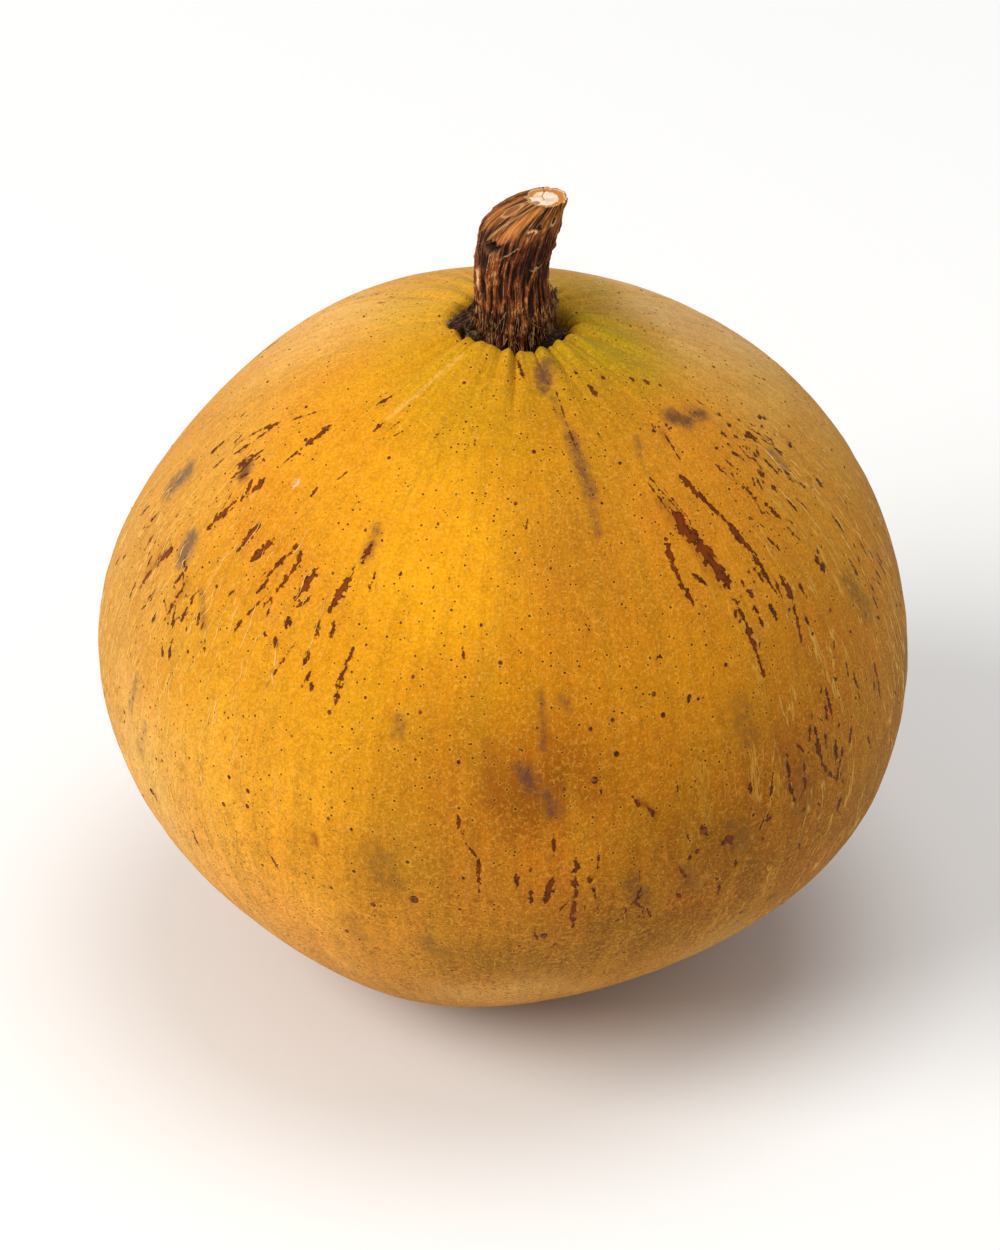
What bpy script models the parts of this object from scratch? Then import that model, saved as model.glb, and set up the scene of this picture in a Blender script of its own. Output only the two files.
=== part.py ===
"""Santol: one whole fruit with its stub of stem and the dried calyx lobes round it.

The fruit is a single lumpy solid.  It is widest at its middle, a little more pointed than
an ellipse at both ends, and sits on a small flat foot.  At the top the skin rolls over a
pleated lip into a narrow pit.  The stem stands in the pit, and five dried lobes of the
calyx stand round the stem and curl over the lip.

Metres, +Z up.  The origin is the centre of the foot.  Azimuths turn from +X towards +Y,
and polar angles run from the stem end (0) to the foot (180).
"""
from math import acos, atan2, cos, exp, hypot, pi, radians, sin

import bmesh
import bpy
from mathutils import Vector

# ---- Driving dimensions (metres, degrees, counts) ------------------------------------

FRUIT_RADIUS = 0.045          # at the middle, the fruit's widest level
CROWN_HEIGHT = 0.0405         # from the widest level up to the closed top, before the pit
BASE_DEPTH = 0.0400           # from the widest level down to the round bottom, before the foot
FULLNESS = 1.88               # 2 is an ellipse, and less draws both ends to a blunter point
FOOT_RADIUS = 0.009           # the flat spot that the fruit sits on

STEM_RADIUS = 0.0042          # the stub of stem, halfway up
STEM_HEIGHT = 0.0154          # from the lip's level up to the cut end
STEM_LEAN = 0.0015            # how far the top of the stem leans over to +X
STEM_CUT_RADIUS = 0.0023      # the clean cut face at the top
STEM_SHOULDER = 0.0027        # height of the sloping shoulder under the cut face
STEM_LEAN_START = 0.55        # share of the stem's height where it starts to lean
STEM_LEAN_CURVE = 1.5         # 1 leans straight from there, and more curves over
STEM_FLARE = 0.05             # extra radius at the stem's foot, as a share
STEM_FLARE_FADE = 0.15        # share of the stem's height over which the flare fades
STEM_SWELL = 0.03             # extra radius at the top of the stem, as a share
STEM_FLUTE = 0.035            # height of the long ridges on the stem, as a share of its radius
STEM_FLUTES = 6               # number of those ridges
STEM_OFFSET = 0.0013          # the stem and its pit stand this far to +X of the foot

PIT_DEPTH = 0.0036            # from the lip down to the pit's floor
LIP_ROUND = 0.0022            # how far the skin takes to roll over into the pit
FOLD_COUNT = 18               # pleats round the lip
FOLD_DEPTH = 0.00022          # height of a pleat above and below the even skin
FOLD_REACH = 0.0045           # how far the pleats run out from the lip before they fade

CALYX_THICKNESS = 0.0004      # a dried lobe
CALYX_WIDTH = 0.0034          # across a lobe at its root
CALYX_TAPER = 0.85            # how much of that width a lobe has lost at its tip, as a share
CALYX_TAPER_CURVE = 1.6       # 1 tapers straight, and more keeps the root broad for longer
CALYX_ROOT_TURN = 8           # degrees round the rolled lip, where a lobe starts
CLEARANCE = 0.0003            # between neighbouring pieces

# Lumps and dents that make the fruit uneven: azimuth, polar angle and spread in degrees,
# and height in metres.
SWELLS = (
    (-18, 115, 22, 0.0017),   # full cheek, low on the right
    (-111, 144, 20, 0.0016),  # chin in front, near the bottom
    (158, 61, 22, -0.0013),   # flattened shoulder on the left
    (27, 56, 24, 0.0006),     # raised shoulder behind, on the right
)

# Each dried lobe of the calyx: azimuth in degrees, how far over the lip its tip reaches
# (0 stays in the pit, 1 comes over the top of the lip), and how far the tip lifts off the skin.
CALYX_LOBES = (
    (173, 0.72, 0.0003),
    (-142, 0.40, 0.0001),
    (-14, 0.58, 0.0002),
    (46, 0.80, 0.0010),
    (112, 0.62, 0.0004),
)

# ---- Mesh fineness --------------------------------------------------------------------

AROUND = 90                   # segments round the fruit, five to a pleat
LIP_RINGS = 7                 # rings over the rolled lip
BODY_RINGS = 34               # rings from the lip to the edge of the foot
STEM_BEVEL = 10               # gives a stem of 24 sides
STEM_STATIONS = 22            # stations along the stem
LOBE_ACROSS = 4               # faces across a lobe
LOBE_ALONG = 8                # faces along a lobe
WELD = 0.00001                # points nearer than this to each other become one
SHARP_ANGLE = 50              # degrees between faces, from which an edge is drawn sharp

# ---- Sizes that follow from the others -------------------------------------------------

STEM_WIDEST = STEM_RADIUS * (1 + STEM_FLARE) * (1 + STEM_FLUTE)
LOBE_OFFSET = CLEARANCE + CALYX_THICKNESS / 2
PIT_RADIUS = STEM_WIDEST + 2 * CLEARANCE + CALYX_THICKNESS
LIP_RADIUS = PIT_RADIUS + LIP_ROUND


def smooth(x):
    """Ease from 0 to 1 as x goes from 0 to 1."""
    x = min(max(x, 0.0), 1.0)
    return x * x * (3 - 2 * x)


def profile_height(radius, height):
    """Height of the even fruit's outline above its widest level, at a distance from its axis."""
    return height * (1 - (radius / FRUIT_RADIUS) ** FULLNESS) ** (1 / FULLNESS)


FOOT_LEVEL = profile_height(FOOT_RADIUS, BASE_DEPTH)      # widest level above the foot
FOOT_POLAR = pi - atan2(FOOT_RADIUS, FOOT_LEVEL)
LIP_POLAR = atan2(LIP_RADIUS, profile_height(LIP_RADIUS, CROWN_HEIGHT))
OFFSET_POLAR = radians(50)    # rings are centred on the stem at the lip, on the foot from here
PRESSED_POLAR = radians(120)  # from here down, the rings settle towards the flat foot
LIP_LEVEL = FOOT_LEVEL + profile_height(LIP_RADIUS, CROWN_HEIGHT)
PIT_FLOOR_LEVEL = LIP_LEVEL - PIT_DEPTH
STEM_FOOT = PIT_FLOOR_LEVEL + CLEARANCE
STEM_TOP = LIP_LEVEL + STEM_HEIGHT


def direction(polar, azimuth):
    return Vector((sin(polar) * cos(azimuth), sin(polar) * sin(azimuth), cos(polar)))


def lumpy_point(ray):
    """The outline with its swells along a ray from the middle of the fruit's widest level."""
    end = CROWN_HEIGHT if ray.z > 0 else BASE_DEPTH
    across = (hypot(ray.x, ray.y) / FRUIT_RADIUS) ** FULLNESS
    along = (abs(ray.z) / end) ** FULLNESS
    distance = (across + along) ** (-1 / FULLNESS)
    for swell_azimuth, swell_polar, spread, height in SWELLS:
        peak = direction(radians(swell_polar), radians(swell_azimuth))
        angle = acos(min(max(ray.dot(peak), -1.0), 1.0))
        distance += height * exp(-(angle / radians(spread)) ** 2)
    return ray * distance


def fold_height(radius, azimuth):
    """Rise and fall of the pleats, full at the lip and fading outwards."""
    fade = exp(-(max(radius - LIP_RADIUS, 0) / FOLD_REACH) ** 2)
    return FOLD_DEPTH * fade * cos(FOLD_COUNT * azimuth)


def skin_point(polar, azimuth):
    """A point of the skin between the lip and the edge of the foot, from the foot's centre."""
    ray = direction(polar, azimuth)
    slide = smooth((OFFSET_POLAR - polar) / (OFFSET_POLAR - LIP_POLAR))
    ray.x += slide * STEM_OFFSET / profile_height(LIP_RADIUS, CROWN_HEIGHT)
    point = lumpy_point(ray.normalized())
    rim = lumpy_point(direction(FOOT_POLAR, azimuth))
    pull = smooth((polar - PRESSED_POLAR) / (FOOT_POLAR - PRESSED_POLAR))
    level_rim = Vector((FOOT_RADIUS * cos(azimuth), FOOT_RADIUS * sin(azimuth), -FOOT_LEVEL))
    point += pull * (level_rim - rim)
    if point.z > 0:
        point.z += fold_height(hypot(point.x - STEM_OFFSET, point.y), azimuth)
    point.z += FOOT_LEVEL
    return point


def lip_point(turn, azimuth, lift=0.0):
    """A point on the rolled lip, or lift above it.

    The turn goes from 0 at the foot of the pit's wall to 90 degrees on top of the lip.
    """
    radius = LIP_RADIUS - LIP_ROUND * cos(turn)
    wall = skin_point(LIP_POLAR, azimuth).z - PIT_FLOOR_LEVEL
    normal = Vector((-wall * cos(turn), LIP_ROUND * sin(turn))).normalized()
    radius += lift * normal.x
    level = PIT_FLOOR_LEVEL + wall * sin(turn) + lift * normal.y
    return Vector((STEM_OFFSET + radius * cos(azimuth), radius * sin(azimuth), level))


# ---- Building helpers -------------------------------------------------------------------

def clear_scene():
    for old in list(bpy.data.objects):
        bpy.data.objects.remove(old, do_unlink=True)


def make_material(name, colour, roughness):
    material = bpy.data.materials.new(name)
    material.use_nodes = True
    shader = material.node_tree.nodes["Principled BSDF"]
    shader.inputs["Base Color"].default_value = (*colour, 1)
    shader.inputs["Roughness"].default_value = roughness
    shader.inputs["Metallic"].default_value = 0
    material.diffuse_color = (*colour, 1)
    return material


def add_object(name, mesh, material, collection):
    part = bpy.data.objects.new(name, mesh)
    mesh.materials.clear()
    mesh.materials.append(material)
    mesh.shade_smooth()
    mesh.set_sharp_from_angle(angle=radians(SHARP_ANGLE))
    collection.objects.link(part)
    return part


# ---- Fruit ------------------------------------------------------------------------------

def fruit_ring_point(ring, azimuth):
    """Where a point of ring number `ring` goes, counting from the pit to the foot."""
    if ring < LIP_RINGS:
        return lip_point(radians(90) * ring / LIP_RINGS, azimuth)
    share = (ring - LIP_RINGS) / (BODY_RINGS - 1)
    return skin_point(LIP_POLAR + share * (FOOT_POLAR - LIP_POLAR), azimuth)


def make_fruit(material, collection):
    """A UV sphere whose rings are moved to the pit, the lip, the body and the foot."""
    rings = LIP_RINGS + BODY_RINGS
    shape = bmesh.new()
    bmesh.ops.create_uvsphere(shape, u_segments=AROUND, v_segments=rings + 1, radius=1)
    for vertex in shape.verts:
        ring = round(acos(min(max(vertex.co.z, -1), 1)) / pi * (rings + 1)) - 1
        azimuth = atan2(vertex.co.y, vertex.co.x)
        if ring < 0:
            vertex.co = Vector((STEM_OFFSET, 0, PIT_FLOOR_LEVEL))
        elif ring == rings:
            vertex.co = Vector((0, 0, 0))
        else:
            vertex.co = fruit_ring_point(ring, azimuth)
    bmesh.ops.recalc_face_normals(shape, faces=shape.faces)
    mesh = bpy.data.meshes.new("fruit")
    shape.to_mesh(mesh)
    shape.free()
    return add_object("fruit", mesh, material, collection)


# ---- Stem -------------------------------------------------------------------------------

def stem_section(level):
    """Radius of the stem at a level, and how far its centre stands to +X of its foot.

    The shoulder narrows the stem on its -X side, so that its +X side runs on up to the cut.
    """
    share = min(max((level - STEM_FOOT) / (STEM_TOP - STEM_FOOT), 0), 1)
    flare = STEM_FLARE * exp(-share / STEM_FLARE_FADE)
    plain_radius = STEM_RADIUS * (1 + flare + STEM_SWELL * smooth(share))
    narrowing = smooth((level - STEM_TOP + STEM_SHOULDER) / STEM_SHOULDER)
    radius = plain_radius + narrowing * (STEM_CUT_RADIUS - plain_radius)
    bent = max(share - STEM_LEAN_START, 0) / (1 - STEM_LEAN_START)
    lean = STEM_LEAN * bent ** STEM_LEAN_CURVE
    return radius, lean + plain_radius - radius


def make_stem(material, collection):
    """An upright tube whose points carry the radius, then fluted and leant over as a mesh."""
    route = bpy.data.curves.new("stem_route", "CURVE")
    route.dimensions = "3D"
    route.bevel_depth = STEM_RADIUS
    route.bevel_resolution = STEM_BEVEL
    route.use_fill_caps = True
    spline = route.splines.new("POLY")
    spline.points.add(STEM_STATIONS - 1)
    for number, point in enumerate(spline.points):
        level = STEM_FOOT + (STEM_TOP - STEM_FOOT) * number / (STEM_STATIONS - 1)
        point.co = (0, 0, level, 1)
        point.radius = stem_section(level)[0] / STEM_RADIUS
    guide = bpy.data.objects.new("stem_route", route)
    collection.objects.link(guide)
    mesh = bpy.data.meshes.new_from_object(guide.evaluated_get(bpy.context.evaluated_depsgraph_get()))
    bpy.data.objects.remove(guide, do_unlink=True)

    shape = bmesh.new()
    shape.from_mesh(mesh)
    bmesh.ops.remove_doubles(shape, verts=shape.verts, dist=WELD)
    for vertex in shape.verts:
        level = vertex.co.z
        around = atan2(vertex.co.y, vertex.co.x)
        fading = (STEM_TOP - level) / (STEM_TOP - STEM_FOOT)
        ridge = 1 + STEM_FLUTE * fading * cos(STEM_FLUTES * around)
        vertex.co.x = vertex.co.x * ridge + STEM_OFFSET + stem_section(level)[1]
        vertex.co.y *= ridge
    bmesh.ops.recalc_face_normals(shape, faces=shape.faces)
    shape.to_mesh(mesh)
    shape.free()
    mesh.name = "stem"
    return add_object("stem", mesh, material, collection)


# ---- Calyx ------------------------------------------------------------------------------

def make_calyx_lobe(name, azimuth, reach, lift, material, collection):
    """A grid bent up the pit's wall and over the lip, narrowing to its tip, then thickened."""
    shape = bmesh.new()
    bmesh.ops.create_grid(shape, x_segments=LOBE_ACROSS, y_segments=LOBE_ALONG, size=1)
    first_turn = radians(CALYX_ROOT_TURN)
    last_turn = radians(90) * reach
    for vertex in shape.verts:
        across = vertex.co.x
        along = (vertex.co.y + 1) / 2
        half_width = CALYX_WIDTH / 2 * (1 - CALYX_TAPER * along ** CALYX_TAPER_CURVE)
        turn = first_turn + along * (last_turn - first_turn)
        away = LOBE_OFFSET + lift * along ** 2
        vertex.co = lip_point(turn, azimuth + across * half_width / PIT_RADIUS, away)
    mesh = bpy.data.meshes.new(name)
    shape.to_mesh(mesh)
    shape.free()
    lobe = add_object(name, mesh, material, collection)
    wall = lobe.modifiers.new("thickness", "SOLIDIFY")
    wall.thickness = CALYX_THICKNESS
    wall.offset = 0
    return lobe


# ---- The whole santol ---------------------------------------------------------------------

clear_scene()
santol = bpy.data.collections.new("santol")
bpy.context.scene.collection.children.link(santol)

skin = make_material("santol_skin", (0.72, 0.38, 0.05), 0.62)
bark = make_material("stem_bark", (0.13, 0.055, 0.02), 0.85)
dried = make_material("dried_calyx", (0.07, 0.045, 0.025), 0.9)

make_fruit(skin, santol)
make_stem(bark, santol)
for number, (azimuth, reach, lift) in enumerate(CALYX_LOBES, start=1):
    make_calyx_lobe(f"calyx_lobe_{number}", radians(azimuth), reach, lift, dried, santol)
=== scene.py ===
# %% [markdown]
# # A ripe santol
# The fruit, its stub of stem and the dried calyx already exist as plain solids in the packed
# frame. This lesson gives each of them the surface of the real thing: a velvety skin with scars,
# raised veins and warts, fibrous bark with a clean cut end, and papery scraps of calyx.
# Everything is in metres, +Z up, with the origin at the centre of the fruit's flat foot.

# %% Load the frame
import math

import bmesh
import bpy
import numpy as np
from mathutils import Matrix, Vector, noise


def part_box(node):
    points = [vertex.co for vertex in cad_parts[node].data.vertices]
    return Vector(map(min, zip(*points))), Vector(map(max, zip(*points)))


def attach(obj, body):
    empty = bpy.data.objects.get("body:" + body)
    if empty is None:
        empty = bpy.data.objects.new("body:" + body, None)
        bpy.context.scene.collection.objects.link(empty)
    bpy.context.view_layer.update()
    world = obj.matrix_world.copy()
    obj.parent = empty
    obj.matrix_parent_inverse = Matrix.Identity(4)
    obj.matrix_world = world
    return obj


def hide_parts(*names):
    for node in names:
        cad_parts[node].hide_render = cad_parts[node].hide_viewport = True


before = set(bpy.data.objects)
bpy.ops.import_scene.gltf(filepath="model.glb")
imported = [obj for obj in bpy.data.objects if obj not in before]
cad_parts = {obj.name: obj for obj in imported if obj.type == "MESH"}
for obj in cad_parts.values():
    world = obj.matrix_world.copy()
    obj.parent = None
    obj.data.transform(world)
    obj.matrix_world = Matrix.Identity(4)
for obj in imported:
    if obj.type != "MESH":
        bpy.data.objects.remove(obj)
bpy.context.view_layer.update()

MM = 0.001
fruit_low, fruit_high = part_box("fruit")
stem_low, stem_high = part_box("stem")
print("fruit box", [round(c / MM, 2) for c in (*fruit_low, *fruit_high)], "mm")
print("stem box", [round(c / MM, 2) for c in (*stem_low, *stem_high)], "mm")

# %% [markdown]
# ## The sizes
# A fruit like this follows a rule. Seen from the side it is a blunt ellipse, fuller than a
# diamond and a little leaner than a true ellipse; four gentle swells make it lopsided; a pleated
# lip rolls over into the pit round the stem. The same few sizes that made the solid are named
# here, and what can be measured on the frame is measured there.

# %% Sizes of the fruit
FRUIT_RADIUS = 45 * MM
CROWN_HEIGHT = 40.5 * MM
BASE_DEPTH = 40 * MM
FULLNESS = 1.88
FOOT_RADIUS = 9 * MM
STEM_OFFSET = 1.3 * MM
LIP_ROUND = 2.2 * MM
PIT_DEPTH = 3.6 * MM
PIT_RADIUS = 5.564 * MM
OFFSET_POLAR = math.radians(50)
PRESSED_POLAR = math.radians(120)

# azimuth, polar angle and spread in degrees, then height
SWELLS = (
    (-18, 115, 22, 1.7 * MM),
    (-111, 144, 20, 1.6 * MM),
    (158, 61, 22, -1.3 * MM),
    (27, 56, 24, 0.6 * MM),
)


def outline(radius, height):
    """Height of the even outline above the widest level, at a distance from the axis."""
    return height * (1 - (radius / FRUIT_RADIUS) ** FULLNESS) ** (1 / FULLNESS)


LIP_RADIUS = PIT_RADIUS + LIP_ROUND
FOOT_LEVEL = outline(FOOT_RADIUS, BASE_DEPTH)
FOOT_POLAR = math.pi - math.atan2(FOOT_RADIUS, FOOT_LEVEL)
LIP_POLAR = math.atan2(LIP_RADIUS, outline(LIP_RADIUS, CROWN_HEIGHT))
PIT_FLOOR = FOOT_LEVEL + outline(LIP_RADIUS, CROWN_HEIGHT) - PIT_DEPTH
print("widest level", round(FOOT_LEVEL / MM, 2), "mm; pit floor", round(PIT_FLOOR / MM, 2), "mm")

# %% [markdown]
# ## Writing nodes as sums
# A node tree is hard to read as a list of links. So one small class wraps a socket and gives it
# the usual operators: `1 - mask * 0.5` adds the two Math nodes. A second class holds the tree and
# has one method that makes any other node.

# %% Node writing
class Wire:
    """A value that flows through a node tree. Sums on it add Math nodes."""

    def __init__(self, pad, socket):
        self.pad, self.socket = pad, socket

    def __add__(self, other):
        return self.pad.math("ADD", self, other)

    def __sub__(self, other):
        return self.pad.math("SUBTRACT", self, other)

    def __rsub__(self, other):
        return self.pad.math("SUBTRACT", other, self)

    def __mul__(self, other):
        return self.pad.math("MULTIPLY", self, other)

    def __truediv__(self, other):
        return self.pad.math("DIVIDE", self, other)

    def __pow__(self, other):
        return self.pad.math("POWER", self, other)

    def __abs__(self):
        return self.pad.math("ABSOLUTE", self)

    __radd__ = __add__
    __rmul__ = __mul__


class Pad:
    """A node tree being written."""

    def __init__(self, tree):
        self.tree = tree

    def plug(self, socket, value):
        if isinstance(value, Wire):
            self.tree.links.new(value.socket, socket)
        elif value is not None:
            socket.default_value = value

    def node(self, kind, settings=None, **values):
        """Adds a node. Settings come first; then values or wires go to its sockets by name.

        A socket's name is written with _ for a space, and _0, _1 and so on choose by number.
        """
        made = self.tree.nodes.new(kind)
        for name, setting in (settings or {}).items():
            setattr(made, name, setting)
        for name, value in values.items():
            number = name[1:] if name[0] == "_" else ""
            socket = made.inputs[int(number)] if number else made.inputs[name.replace("_", " ")]
            self.plug(socket, value)
        return made

    def out(self, made, output=0):
        return Wire(self, made.outputs[output])

    def math(self, operation, first, second=None, clamp=False):
        made = self.node("ShaderNodeMath", {"operation": operation, "use_clamp": clamp}, _0=first, _1=second)
        return self.out(made)

    def sin(self, angle):
        return self.math("SINE", angle)

    def cos(self, angle):
        return self.math("COSINE", angle)

    def most(self, first, second):
        return self.math("MAXIMUM", first, second)

    def least(self, first, second):
        return self.math("MINIMUM", first, second)

    def bell(self, value, width):
        """1 where the value is 0, and easing to 0 on both sides of it."""
        return self.math("EXPONENT", (value / width) ** 2 * -1)

    def vector(self, operation, first, second=None, output=0, **more):
        made = self.node("ShaderNodeVectorMath", {"operation": operation}, _0=first, _1=second, **more)
        return self.out(made, output)

    def scale(self, vector, size):
        return self.vector("SCALE", vector, Scale=size)

    def combine(self, x, y, z):
        return self.out(self.node("ShaderNodeCombineXYZ", X=x, Y=y, Z=z))

    def split(self, vector):
        made = self.node("ShaderNodeSeparateXYZ", Vector=vector)
        return [self.out(made, axis) for axis in range(3)]

    def ramp(self, value, low, high, start=0.0, end=1.0):
        """Eases from start to end as the value goes from low to high."""
        made = self.node("ShaderNodeMapRange", {"interpolation_type": "SMOOTHSTEP"},
                         Value=value, From_Min=low, From_Max=high, To_Min=start, To_Max=end)
        return self.out(made)

    def noise(self, vector, scale, detail=2.0, roughness=0.5):
        made = self.node("ShaderNodeTexNoise", Vector=vector, Scale=scale, Detail=detail, Roughness=roughness)
        return self.out(made)

    def blend(self, factor, first, second):
        """Mixes two colours."""
        made = self.node("ShaderNodeMix", {"data_type": "RGBA"})
        self.plug(made.inputs[0], factor)
        self.plug(made.inputs[6], first)
        self.plug(made.inputs[7], second)
        return self.out(made, 2)

    def own_mm(self):
        """The object's own coordinates in millimetres."""
        return self.scale(self.out(self.node("ShaderNodeTexCoord"), 3), 1 / MM)

    def attribute(self, name, output=0):
        """A number or colour stored on the mesh: output 0 is a colour, 1 a vector and 2 a number."""
        return self.out(self.node("ShaderNodeAttribute", {"attribute_name": name}), output)

    def read_three(self, name):
        return self.split(self.attribute(name, 1))

    def paint(self, shader, bump=None, **values):
        """Plugs values or wires into a shader's sockets, and a height into its bump."""
        for name, value in values.items():
            self.plug(shader.inputs[name.replace("_", " ")], value)
        if bump:
            raised = self.node("ShaderNodeBump", Strength=0.9, Distance=1 * MM, Height=bump)
            self.plug(shader.inputs["Normal"], self.out(raised))


# %% [markdown]
# ## A tree for each growing thing
# Geometry Nodes trees all start the same way here: a group with named inputs, an output, and a
# last pair of nodes that makes instances real and gives the material. The finished tree is put on
# an empty mesh, evaluated, and kept as a plain mesh, so the modifier is gone before the piece is
# used.

# %% Geometry Nodes helpers
SOCKETS = {float: "NodeSocketFloat", int: "NodeSocketInt"}


def add_object(name, data):
    made = bpy.data.objects.new(name, data)
    bpy.context.scene.collection.objects.link(made)
    return made


def settled_mesh(carrier):
    """The mesh that an object's modifiers leave."""
    graph = bpy.context.evaluated_depsgraph_get()
    return bpy.data.meshes.new_from_object(carrier.evaluated_get(graph))


class Grower(Pad):
    """A Geometry Nodes tree with named inputs, each with a starting value."""

    def __init__(self, name, sizes, takes_mesh=False):
        super().__init__(bpy.data.node_groups.new(name, "GeometryNodeTree"))
        face = self.tree.interface
        face.new_socket("Geometry", in_out="OUTPUT", socket_type="NodeSocketGeometry")
        if takes_mesh:
            face.new_socket("Geometry", in_out="INPUT", socket_type="NodeSocketGeometry")
        for label, value in sizes.items():
            face.new_socket(label, in_out="INPUT", socket_type=SOCKETS[type(value)])
        face.new_socket("Material", in_out="INPUT", socket_type="NodeSocketMaterial")
        self.sizes = sizes
        self.inputs = self.tree.nodes.new("NodeGroupInput")

    def size(self, label):
        return Wire(self, self.inputs.outputs[label])

    def end(self, shape):
        real = self.node("GeometryNodeRealizeInstances", Geometry=shape)
        painted = self.node("GeometryNodeSetMaterial", Geometry=self.out(real),
                            Material=self.size("Material"))
        smooth = self.node("GeometryNodeSetShadeSmooth", Geometry=self.out(painted))
        result = self.tree.nodes.new("NodeGroupOutput")
        self.tree.links.new(smooth.outputs[0], result.inputs[0])

    def grow(self, name, material, mesh=None):
        """Evaluates the tree on an object and returns the result as a plain mesh object."""
        seedling = add_object(name + "_seedling", mesh or bpy.data.meshes.new(name))
        modifier = seedling.modifiers.new("grow", "NODES")
        modifier.node_group = self.tree
        for item in self.tree.interface.items_tree:
            if item.in_out == "INPUT" and item.name in self.sizes:
                modifier[item.identifier] = self.sizes[item.name]
            elif item.name == "Material":
                modifier[item.identifier] = material
        grown = settled_mesh(seedling)
        bpy.data.objects.remove(seedling, do_unlink=True)
        grown.name = name
        piece = add_object(name, grown)
        if not grown.materials:
            grown.materials.append(material)
        print(name, "has", len(grown.polygons), "faces")
        return piece


def new_material(name):
    """A material with a bare Principled shader, and a pad to write its nodes on."""
    material = bpy.data.materials.new(name)
    material.use_nodes = True
    return material, Pad(material.node_tree), material.node_tree.nodes["Principled BSDF"]


# %% [markdown]
# ## The skin's shape
# The skin is a UV sphere whose rings are moved. Its first rings go over the rolled lip, from the
# foot of the pit's wall to the top of the lip; the next run over the body; the last few draw in
# under the foot. The pleats round the stem are sharper than waves: rounded folds with narrow
# creases between them, unevenly spaced, some of them running far down the shoulder. Very low
# ripples and ribs keep the body from looking turned.

# %% Grow the skin
skin_sizes = {
    "Segments": 420, "Rings": 232, "Lip Rings": 24, "Foot Rings": 8,
    "Fold Count": 20, "Fold Depth": 0.72 * MM, "Fold Reach": 4.8 * MM,
    "Groove Depth": 0.42 * MM, "Ripple": 0.16 * MM, "Rib Height": 0.055 * MM,
    "Blossom Dimple": 0.5 * MM, "Front Roll": 0.8 * MM,
}
GROOVE_REACH = 11 * MM
ROLL_REACH = 5.5 * MM


def lumpy_distance(pad, ray):
    """How far the skin is from the middle of the widest level, along a ray."""
    x, y, z = pad.split(ray)
    across = (pad.math("SQRT", x * x + y * y) / FRUIT_RADIUS) ** FULLNESS
    end = pad.ramp(z, -0.0001, 0.0001, BASE_DEPTH, CROWN_HEIGHT)
    along = (abs(z) / end) ** FULLNESS
    distance = (across + along) ** (-1 / FULLNESS)
    for azimuth, polar, spread, height in SWELLS:
        azimuth, polar = math.radians(azimuth), math.radians(polar)
        peak = (math.sin(polar) * math.cos(azimuth), math.sin(polar) * math.sin(azimuth), math.cos(polar))
        angle = pad.math("ARCCOSINE", pad.vector("DOT_PRODUCT", ray, peak, output=1))
        distance = distance + height * pad.bell(angle, math.radians(spread))
    return distance


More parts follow.
